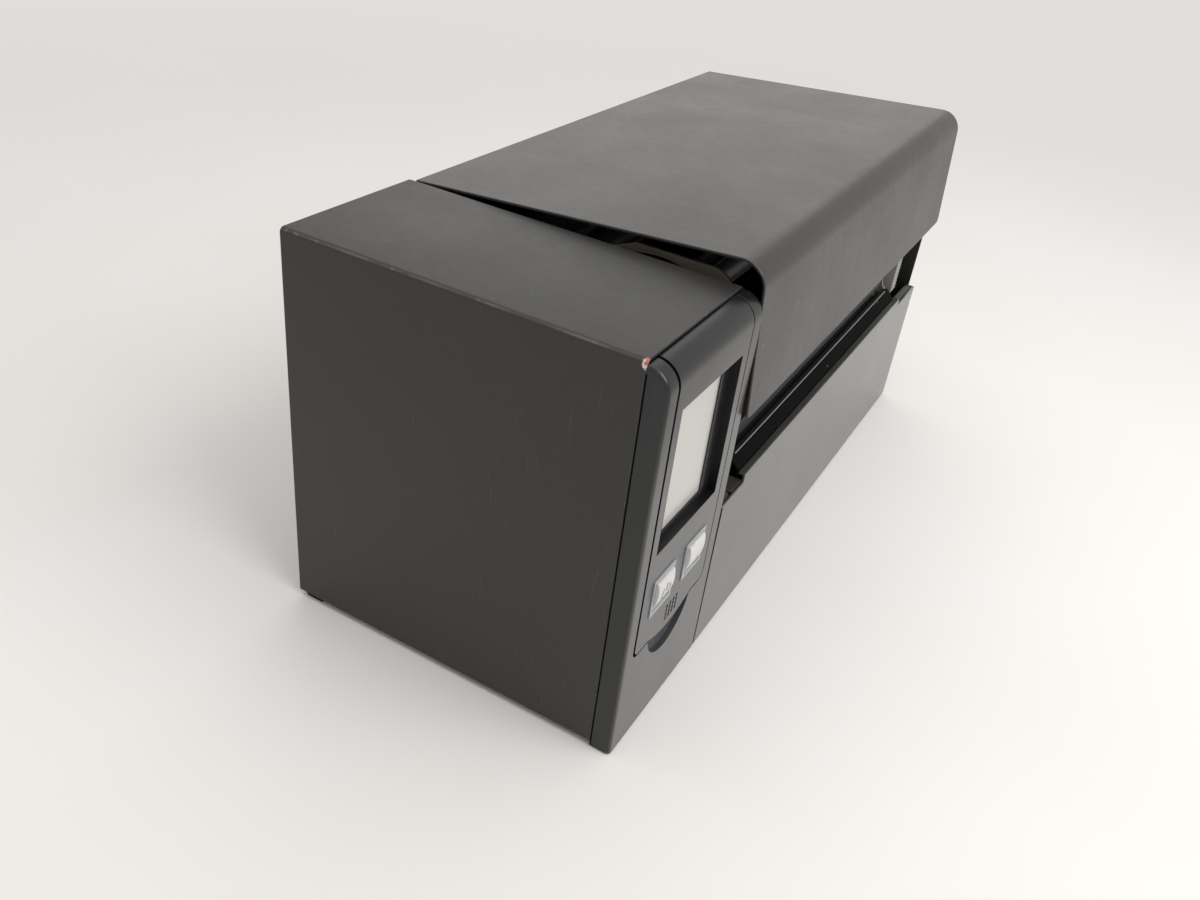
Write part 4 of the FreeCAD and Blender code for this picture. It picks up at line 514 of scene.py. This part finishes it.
BEND_NICKS = [
    (spot(0.7, 189.0, 208.3), 0.8, NO_STRETCH), (spot(0.7, 183.5, 208.3), 0.7, ALONG_BEND),
    (spot(0.7, 172.0, 208.3), 0.5, ALONG_BEND), (spot(0.7, 131.0, 208.3), 0.6, ALONG_BEND),
    (spot(0.7, 88.0, 208.3), 0.5, ALONG_BEND), (spot(0.7, 34.0, 208.3), 0.6, ALONG_BEND),
]
CHIP_PLACE = spot(0.3, 11.5, 208.4)

# Finish of each material slot, and of the nodes that have one of their own: colour, roughness, and for plastics
# and metals the grain's features per metre.
SLOT_FINISHES = {
    "black_sheet": coat("black_powder_coat", SHEET, 0.44),
    "black_plastic": plastic("charcoal_moulding", PANEL_COLOUR, 0.4, PANEL_GRAIN),
    "zinc_steel": metal("zinc_plate", (0.36, 0.32, 0.26), 0.48, 120.0, metallic=0.6),
    "bright_steel": metal("ground_steel", (0.62, 0.62, 0.62), 0.25, 400.0),
    "rubber": plastic("foot_rubber", (0.006, 0.006, 0.006), 0.75, 1500.0, 0.4, specular=0.1),
    "gear_plastic": plastic("acetal", (0.68, 0.66, 0.58), 0.45, 1500.0),
    "aluminium": metal("satin_aluminium", (0.66, 0.67, 0.68), 0.33, 300.0),
    "lever_plastic": plastic("lever_grey", (0.26, 0.26, 0.25), 0.5, 1800.0),
    "glass_black": plastic("mask_black", (0.006, 0.006, 0.007), 0.2, 3000.0, 0.05),
    "screen": unlit_screen(),
    "key_ring": plastic("smoky_clear", (0.25, 0.26, 0.29), 0.2, 2500.0, 0.05, 0.6),
    "key_cap": plastic("key_silver", (0.57, 0.565, 0.55), 0.34, 2500.0, 0.1),
    "circuit_board": plastic("solder_mask", (0.02, 0.12, 0.045), 0.35, 900.0),
    "brass": metal("bearing_bronze", (0.26, 0.20, 0.12), 0.4, 200.0),
    "motor_case": coat("motor_black", (0.02, 0.02, 0.02), 0.5),
    "socket_plastic": plastic("socket_black", (0.014, 0.014, 0.014), 0.4, 2200.0),
    "socket_metal": metal("tinned_shield", (0.66, 0.66, 0.66), 0.3, 250.0),
}
DARK_STEEL = metal("blackened_steel", (0.030, 0.029, 0.027), 0.5, 200.0, metallic=0.4)
DARK_ALLOY = metal("black_anodised", (0.022, 0.022, 0.024), 0.45, 300.0, metallic=0.3)
# The inset's recess and sound holes get a painted shade.
INSET_FINISH = panel_plastic("inset_moulding", in_recess, RECESS_PAINTED_SHADE)
NODE_FINISHES = {
    "electronics_cover": coat("tower_coat", SHEET, 0.44, nicks=BEND_NICKS, chip=CHIP_PLACE, bend_wear_and_highlight=0.8),
    "media_cover": coat("cover_coat", SHEET, 0.42, 0.2, FLAP_NICKS + LID_NICKS, edge_wear_and_highlight=0.9),
    # The front cover's paler colour is a painted sheen.
    "front_cover": coat("front_coat", scaled(SHEET, FRONT_SHEEN_PALE), 0.42, 1.0, FRONT_NICKS, edge_wear_and_highlight=0.8),
    "exit_plate": coat("ledge_coat", (0.0035, 0.0035, 0.0035), 0.6, specular=0.03),
    "tear_bar": tear_steel(),
    "control_panel": panel_plastic("panel_moulding", in_scoop, SCOOP_SKIN_COLOUR),
    "display_panel": INSET_FINISH,
    "print_head": DARK_ALLOY,
    "head_carriage": DARK_STEEL,
    "media_guide_plate": DARK_STEEL,
    "cross_bars": DARK_STEEL,
    "head_pivot_shaft": DARK_STEEL,
    "ribbon_takeup_spindle": DARK_ALLOY,
    "ribbon_supply_spindle": DARK_ALLOY,
}

# Widths in millimetres to which sharp edges are rounded.
EDGE_WIDTHS = {"front_cover": 0.55, "media_cover": 0.5, "electronics_cover": 0.4, "control_panel": 0.6,
               "power_button": 0.5, "feed_button": 0.5, "exit_plate": 0.4}
PLAIN_EDGE = 0.25
DRILLED_EDGE = 0.15
SHELF_EDGE = 0.15
SIDE_SEAM_EDGE = 0.1
FRONT_SEAM_EDGE = 0.02
WELD_GAP = 0.002 * MM
FLAT_ANGLE = math.radians(0.6)
SHARP_ANGLE = math.radians(35.0)
EDGE_STEPS = 2


def soften_edges(item, width):
    """Welds an object's facets and rounds its sharp edges, as a modifier stack over the fixed mesh."""
    mesh = item.data
    if "custom_normal" in mesh.attributes:
        mesh.attributes.remove(mesh.attributes["custom_normal"])
    mesh.polygons.foreach_set("use_smooth", [True] * len(mesh.polygons))
    weld = item.modifiers.new("weld", "WELD")
    weld.merge_threshold = WELD_GAP
    flat = item.modifiers.new("flat", "DECIMATE")
    flat.decimate_type = "DISSOLVE"
    flat.angle_limit = FLAT_ANGLE
    bevel = item.modifiers.new("edge", "BEVEL")
    bevel.width = width * MM
    bevel.segments = EDGE_STEPS
    bevel.limit_method = "ANGLE"
    bevel.angle_limit = SHARP_ANGLE
    bevel.harden_normals = True


def dress_nodes():
    """Gives every CAD node its finish and small rounded edges."""
    for name, item in NODES.items():
        item.data.materials.clear()
        item.data.materials.append(NODE_FINISHES.get(name, SLOT_FINISHES[SLOTS[name]]))
        soften_edges(item, EDGE_WIDTHS.get(name, PLAIN_EDGE))


def new_piece(name, mesh, body, finish):
    """Links a mesh as a piece that rides on a body and takes the given finish."""
    item = bpy.data.objects.new(name, mesh)
    bpy.context.scene.collection.objects.link(item)
    mesh.materials.clear()
    mesh.materials.append(finish)
    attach(item, body)
    return item


def plain_mesh(name, shape):
    """Mesh from a bmesh, which is then freed."""
    mesh = bpy.data.meshes.new(name)
    shape.to_mesh(mesh)
    shape.free()
    return mesh


def finished_mesh(name, shape):
    """Mesh from a bmesh with its faces turned outwards."""
    bmesh.ops.recalc_face_normals(shape, faces=shape.faces)
    return plain_mesh(name, shape)


def add_prism(shape, first_ring, second_ring):
    """Adds a closed solid between two rings of places."""
    rings = [[shape.verts.new(place) for place in ring] for ring in (first_ring, second_ring)]
    for ring in rings:
        shape.faces.new(ring)
    for here in range(len(first_ring)):
        after = (here + 1) % len(first_ring)
        shape.faces.new((rings[0][here], rings[0][after], rings[1][after], rings[1][here]))


def prism(name, first_ring, second_ring):
    """Closed mesh between two rings of places."""
    shape = bmesh.new()
    add_prism(shape, first_ring, second_ring)
    return finished_mesh(name, shape)


# The beeper's square field of sound holes and the dark discs in them that paint their shade, in millimetres.
GRILLE_COUNT = 4
GRILLE_ACROSS = 3.4
GRILLE_UP = 2.5
GRILLE_LOW = 57.9
GRILLE_HOLE = 1.08
GRILLE_DEPTH = 3.0
DRILL_LEAD = 1.0
HOLE_SHADE_DEPTH = 0.1
HOLE_SHADE_THICK = 0.4
HOLE_SHADE_GAP = 0.01
HOLE_SHADE_COLOUR = (0.003, 0.003, 0.003)
ROUND_STEPS = 20


def add_rounds(shape, radius, start, end):
    """Adds a round bar at each sound hole, between two depths from the front."""
    for column in range(GRILLE_COUNT):
        for row in range(GRILLE_COUNT):
            across = PANEL_MIDDLE + (column - (GRILLE_COUNT - 1) / 2) * GRILLE_ACROSS
            middle = spot(across, (start + end) / 2, GRILLE_LOW + row * GRILLE_UP)
            turn = Matrix.Translation(middle) @ Matrix.Rotation(math.radians(90.0), 4, "X")
            bmesh.ops.create_cone(shape, cap_ends=True, segments=ROUND_STEPS, radius1=radius * MM,
                                  radius2=radius * MM, depth=(end - start) * MM, matrix=turn)


def drill_panel():
    """Display panel with the beeper's sound holes drilled in its front."""
    drill = bmesh.new()
    add_rounds(drill, GRILLE_HOLE, -DRILL_LEAD, GRILLE_DEPTH)
    drill_mesh = plain_mesh("drill", drill)
    cutter = bpy.data.objects.new("drill", drill_mesh)
    bpy.context.scene.collection.objects.link(cutter)

    shell = bmesh.new()
    shell.from_mesh(NODES["display_panel"].data)
    bmesh.ops.remove_doubles(shell, verts=shell.verts, dist=WELD_GAP)
    shell_mesh = plain_mesh("drilled_panel", shell)
    panel = new_piece("drilled_panel", shell_mesh, "display", INSET_FINISH)
    holes = panel.modifiers.new("holes", "BOOLEAN")
    holes.operation = "DIFFERENCE"
    holes.solver = "EXACT"
    holes.object = cutter
    bpy.context.view_layer.update()
    result = bpy.data.meshes.new_from_object(panel.evaluated_get(bpy.context.evaluated_depsgraph_get()))
    panel.modifiers.clear()
    panel.data = result
    bpy.data.objects.remove(cutter)
    bpy.data.meshes.remove(drill_mesh)
    bpy.data.meshes.remove(shell_mesh)
    soften_edges(panel, DRILLED_EDGE)
    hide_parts("display_panel")


# The left key's curved face and the sign on it, in millimetres. The profile gives how far to each side of
# the stroke's middle, in half widths, and how far proud of the face.
KEY_MIDDLE_U = 29.45
KEY_MIDDLE_W = 84.05
KEY_STANDS = 2.4
KEY_DOME = 24.0
KEY_LIFT = 2.5
SIGN_RADIUS = 3.9
SIGN_HALF_WIDTH = 0.42
SIGN_PROUD = 0.22
SIGN_PROFILE = ((-1.5, -0.05), (-0.8, SIGN_PROUD), (0.8, SIGN_PROUD), (1.5, -0.05))
SIGN_DROP = 0.3
SIGN_STEPS = 40
SIGN_GAP = math.radians(38.0)
SIGN_BAR_STEP = 0.6
SIGN_BAR_STEPS = 8
SIGN_COLOUR = (0.24, 0.24, 0.24)


def key_face(w):
    """Depth of the power key's curved face at a height."""
    up = w - KEY_MIDDLE_W - KEY_LIFT
    return KEY_DOME - KEY_STANDS - math.sqrt(KEY_DOME ** 2 - up ** 2)


def raised_stroke(shape, middles):
    """Low ridge with sloping sides along a line of places on the power key's face."""
    rows = []
    for index, place in enumerate(middles):
        ahead = middles[min(index + 1, len(middles) - 1)] - middles[max(index - 1, 0)]
        side = Vector((-ahead.y, ahead.x)).normalized()
        row = []
        for reach, proud in SIGN_PROFILE:
            at = place + side * reach * SIGN_HALF_WIDTH
            row.append(shape.verts.new(spot(at.x, key_face(at.y) - proud, at.y)))
        rows.append(row)
    for first, second in zip(rows, rows[1:]):
        for low in range(len(SIGN_PROFILE) - 1):
            shape.faces.new((first[low], second[low], second[low + 1], first[low + 1]))
        shape.faces.new((first[0], first[-1], second[-1], second[0]))
    shape.faces.new(rows[0][::-1])
    shape.faces.new(rows[-1])


def make_power_sign():
    """Plain power sign, a broken ring with an upright bar, raised on the left key."""
    shape = bmesh.new()
    centre = Vector((KEY_MIDDLE_U, KEY_MIDDLE_W - SIGN_DROP))
    sweep = 2 * math.pi - 2 * SIGN_GAP
    ring = []
    for step in range(SIGN_STEPS + 1):
        angle = SIGN_GAP + sweep * step / SIGN_STEPS
        ring.append(centre + SIGN_RADIUS * Vector((math.sin(angle), math.cos(angle))))
    raised_stroke(shape, ring)
    bar = [centre + Vector((0.0, SIGN_BAR_STEP * (step + 1))) for step in range(SIGN_BAR_STEPS)]
    raised_stroke(shape, bar)
    finish = plastic("sign_grey", SIGN_COLOUR, roughness=0.35, grain=2500.0, lift=0.1)
    new_piece("power_sign", finished_mesh("power_sign", shape), "power_key", finish)


# Outlines in millimetres: the side seam and the shelf seen from above, the front seam seen from the front.
SIDE_SEAM = ((-0.04, 10.15), (0.5, 10.15), (0.5, 10.9), (-0.04, 10.9))
SIDE_SEAM_HEIGHTS = (1.5, 203.5)
FRONT_SEAM = ((92.02, 2.0), (93.0, 2.0), (94.2, 91.8), (92.02, 91.8))
FRONT_SEAM_DEPTH = (-0.03, 0.4)
NOTCH_SHELF = ((107.0, 1.55), (120.9, 1.55), (120.9, 10.8), (109.1, 10.8), (109.1, 5.55), (107.0, 5.55))
NOTCH_SHELF_HEIGHTS = (92.75, 93.35)
SHELF_PALE = 1.5
# The seam strips' colour is a painted shade.
SEAM_PAINTED_SHADE = (0.002, 0.002, 0.002)


def make_seams():
    """Dark strips over the tower's two seams, a painted shade of a wider gap, the front one wider at its top.
    """
    finish = plastic("seam_shade_black", SEAM_PAINTED_SHADE, roughness=0.8, grain=1500.0, specular=0.02)
    rings = [[spot(u, v, w) for u, v in SIDE_SEAM] for w in SIDE_SEAM_HEIGHTS]
    strip = new_piece("side_seam", prism("side_seam", *rings), "frame", finish)
    soften_edges(strip, SIDE_SEAM_EDGE)
    rings = [[spot(u, v, w) for u, w in FRONT_SEAM] for v in FRONT_SEAM_DEPTH]
    strip = new_piece("front_seam", prism("front_seam", *rings), "frame", finish)
    soften_edges(strip, FRONT_SEAM_EDGE)


def make_hole_shade():
    """Black discs just behind the mouths of the sound holes, a painted shade for their insides."""
    shape = bmesh.new()
    add_rounds(shape, GRILLE_HOLE - HOLE_SHADE_GAP, HOLE_SHADE_DEPTH, HOLE_SHADE_DEPTH + HOLE_SHADE_THICK)
    finish = plastic("hole_shade_black", HOLE_SHADE_COLOUR, roughness=0.85, grain=5000.0, lift=0.5, specular=0.02)
    new_piece("sound_hole_shade", finished_mesh("sound_hole_shade", shape), "display", finish)


def make_shelf():
    """Shelf at the foot of the front cover's left notch."""
    finish = coat("shelf_coat", scaled(SHEET, SHELF_PALE), roughness=0.5)
    rings = [[spot(u, v, w) for u, v in NOTCH_SHELF] for w in NOTCH_SHELF_HEIGHTS]
    shelf = new_piece("notch_shelf", prism("notch_shelf", *rings), "frame", finish)
    soften_edges(shelf, SHELF_EDGE)


# Two low rivet heads on the sloping ledge, in millimetres.
RIVET_PLACES = ((372.1, 9.0, 102.7), (261.0, 5.9, 99.8))
RIVET_RADIUS = 0.95
RIVET_HEIGHT = 0.4
RIVET_RINGS = 10
RIVET_COLOUR = (0.05, 0.048, 0.045)
LEDGE_TILT = math.radians(43.9)


def make_rivets():
    """Two small rivets on the ledge."""
    shape = bmesh.new()
    low = Matrix.Diagonal((1.0, 1.0, RIVET_HEIGHT / RIVET_RADIUS, 1.0))
    turn = Matrix.Rotation(LEDGE_TILT, 4, "X") @ low
    for place in RIVET_PLACES:
        bmesh.ops.create_uvsphere(shape, u_segments=ROUND_STEPS, v_segments=RIVET_RINGS,
                                  radius=RIVET_RADIUS * MM, matrix=Matrix.Translation(spot(*place)) @ turn)
    for face in shape.faces:
        face.smooth = True
    finish = metal("rubbed_rivet", RIVET_COLOUR, roughness=0.35, scale=400.0, metallic=0.7)
    new_piece("ledge_rivets", finished_mesh("ledge_rivets", shape), "frame", finish)


# Square feet with rounded corners, in millimetres: middles, half sizes at the floor and at the top, heights.
FOOT_MIDDLES = ((8.5, 184.0), (18.0, 30.0), (435.0, 184.0), (425.5, 30.0))
FOOT_HALVES = (6.7, 7.3)
FOOT_HEIGHTS = (0.0, 4.0)
FOOT_CORNER = 3.0
FOOT_CORNER_STEPS = 6
FOOT_CORNER_SIDES = ((1, 1), (-1, 1), (-1, -1), (1, -1))
FOOT_EDGE = 0.5


def foot_ring(middle, half, w):
    """Square ring with rounded corners around a foot's middle, at a height."""
    ring = []
    for quarter, sides in enumerate(FOOT_CORNER_SIDES):
        centre = Vector(middle) + (half - FOOT_CORNER) * Vector(sides)
        for step in range(FOOT_CORNER_STEPS + 1):
            angle = math.radians(90.0) * (quarter + step / FOOT_CORNER_STEPS)
            place = centre + FOOT_CORNER * Vector((math.cos(angle), math.sin(angle)))
            ring.append(spot(place.x, place.y, w))
    return ring


def make_feet():
    """Feet with straight sides, in the places of the round ones."""
    shape = bmesh.new()
    for middle in FOOT_MIDDLES:
        add_prism(shape, *(foot_ring(middle, half, w) for half, w in zip(FOOT_HALVES, FOOT_HEIGHTS)))
    mesh = finished_mesh("foot_pads", shape)
    feet = new_piece("foot_pads", mesh, "frame", SLOT_FINISHES["rubber"])
    soften_edges(feet, FOOT_EDGE)
    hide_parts("rubber_feet")


# The room's strength as a lamp and as it is seen; the floor fades into it between two distances in metres.
ROOM_LIGHT = 0.56
ROOM_LOOK = 0.75
ROOM_COLOUR = (1.0, 0.983, 0.957, 1.0)
FLOOR_REACH = 40.0
FLOOR_FADE = (0.4, 1.5)
FLOOR_COLOURS = ((0.80, 0.79, 0.77), (0.84, 0.835, 0.82))
FLOOR_CLOUDS = 2.0
BLACK = (0.0, 0.0, 0.0)


def seen_share(tree):
    """1 on rays from the camera, in reflections and through glass, 0 on rays that carry light."""
    path = tree.nodes.new("ShaderNodeLightPath")
    seen = path.outputs["Is Camera Ray"]
    for ray in ("Is Glossy Ray", "Is Transmission Ray"):
        either = tree.nodes.new("ShaderNodeMath")
        either.operation = "MAXIMUM"
        tree.links.new(seen, either.inputs[0])
        tree.links.new(path.outputs[ray], either.inputs[1])
        seen = either.outputs[0]
    return seen


def make_stage():
    """Pale floor under the feet, which fades into the room behind it away from the object."""
    mesh = bpy.data.meshes.new("floor")
    corners = [(x * FLOOR_REACH, y * FLOOR_REACH, 0.0) for x, y in ((-1, -1), (1, -1), (1, 1), (-1, 1))]
    mesh.from_pydata(corners, [], [(0, 1, 2, 3)])
    floor = bpy.data.objects.new("floor", mesh)
    bpy.context.scene.collection.objects.link(floor)
    s = Shader("pale_floor")
    far = s.math("MULTIPLY", s.ramp(s.distance((0.0, 0.0, 0.0)), *FLOOR_FADE), seen_share(s.tree))
    pale = s.mix(s.spread(s.noise(FLOOR_CLOUDS)), *FLOOR_COLOURS)
    s.set(Base_Color=s.mix(far, pale, BLACK), Roughness=0.8, Specular_IOR_Level=0.0)
    s.set(Emission_Color=ROOM_COLOUR, Emission_Strength=s.math("MULTIPLY", far, ROOM_LOOK))
    mesh.materials.append(s.material)


# Soft boxes: place, target and size in metres, and power in watts.
LAMP_COLOUR = (1.0, 0.988, 0.972)
LAMPS = {
    "ceiling": ((0.2, 0.0, 1.8), (0.0, 0.0, 0.1), (2.2, 1.6), 8.9),
    "right_wall": ((3.8, 1.8, 2.0), (0.0, 0.0, 0.2), (3.6, 2.8), 16.0),
    "front": ((-0.2, -1.4, 1.4), (-0.1, -0.9, 0.0), (1.4, 1.2), 21.6),
    "left_fill": ((-1.2, 0.0, 1.6), (-0.5, 0.0, 0.0), (1.2, 1.2), 0.8),
}


def area_lamp(name, place, target, size, power):
    """Soft box aimed at a target, hidden from the camera."""
    data = bpy.data.lights.new(name, "AREA")
    data.shape = "RECTANGLE"
    data.size, data.size_y = size
    data.energy = power
    data.color = LAMP_COLOUR
    lamp = bpy.data.objects.new(name, data)
    lamp.visible_camera = False
    lamp.location = place
    lamp.rotation_euler = (Vector(target) - Vector(place)).to_track_quat("-Z", "Y").to_euler()
    bpy.context.scene.collection.objects.link(lamp)


def make_light():
    """White room, dimmer as a lamp than it is seen, with the soft boxes."""
    world = bpy.data.worlds.new("white_room")
    bpy.context.scene.world = world
    world.use_nodes = True
    tree = world.node_tree
    back = tree.nodes["Background"]
    back.inputs["Color"].default_value = ROOM_COLOUR
    strength = tree.nodes.new("ShaderNodeMapRange")
    tree.links.new(seen_share(tree), strength.inputs["Value"])
    strength.inputs["To Min"].default_value = ROOM_LIGHT
    strength.inputs["To Max"].default_value = ROOM_LOOK
    tree.links.new(strength.outputs["Result"], back.inputs["Strength"])
    for name, lamp in LAMPS.items():
        area_lamp(name, *lamp)


def make_camera():
    """Camera at the photograph's place, angle and field of view."""
    data = bpy.data.cameras.new("photo_camera")
    data.sensor_fit = "HORIZONTAL"
    data.sensor_width = SENSOR
    data.lens = FOCAL_PIXELS * SENSOR / PHOTO_WIDTH
    back = Vector((math.sin(AZIMUTH) * math.cos(ELEVATION), -math.cos(AZIMUTH) * math.cos(ELEVATION),
                   math.sin(ELEVATION)))
    level = Vector((math.cos(AZIMUTH), math.sin(AZIMUTH), 0.0))
    right = level * math.cos(ROLL) + back.cross(level) * math.sin(ROLL)
    camera = bpy.data.objects.new("photo_camera", data)
    turn = Matrix((right, back.cross(right), back)).transposed()
    camera.matrix_world = Matrix.Translation(CAMERA_PLACE) @ turn.to_4x4()
    bpy.context.scene.collection.objects.link(camera)
    bpy.context.scene.camera = camera


dress_nodes()
drill_panel()
make_power_sign()
make_seams()
make_hole_shade()
make_shelf()
make_rivets()
make_feet()
make_stage()
make_light()
make_camera()
bpy.context.scene.view_settings.view_transform = "Standard"
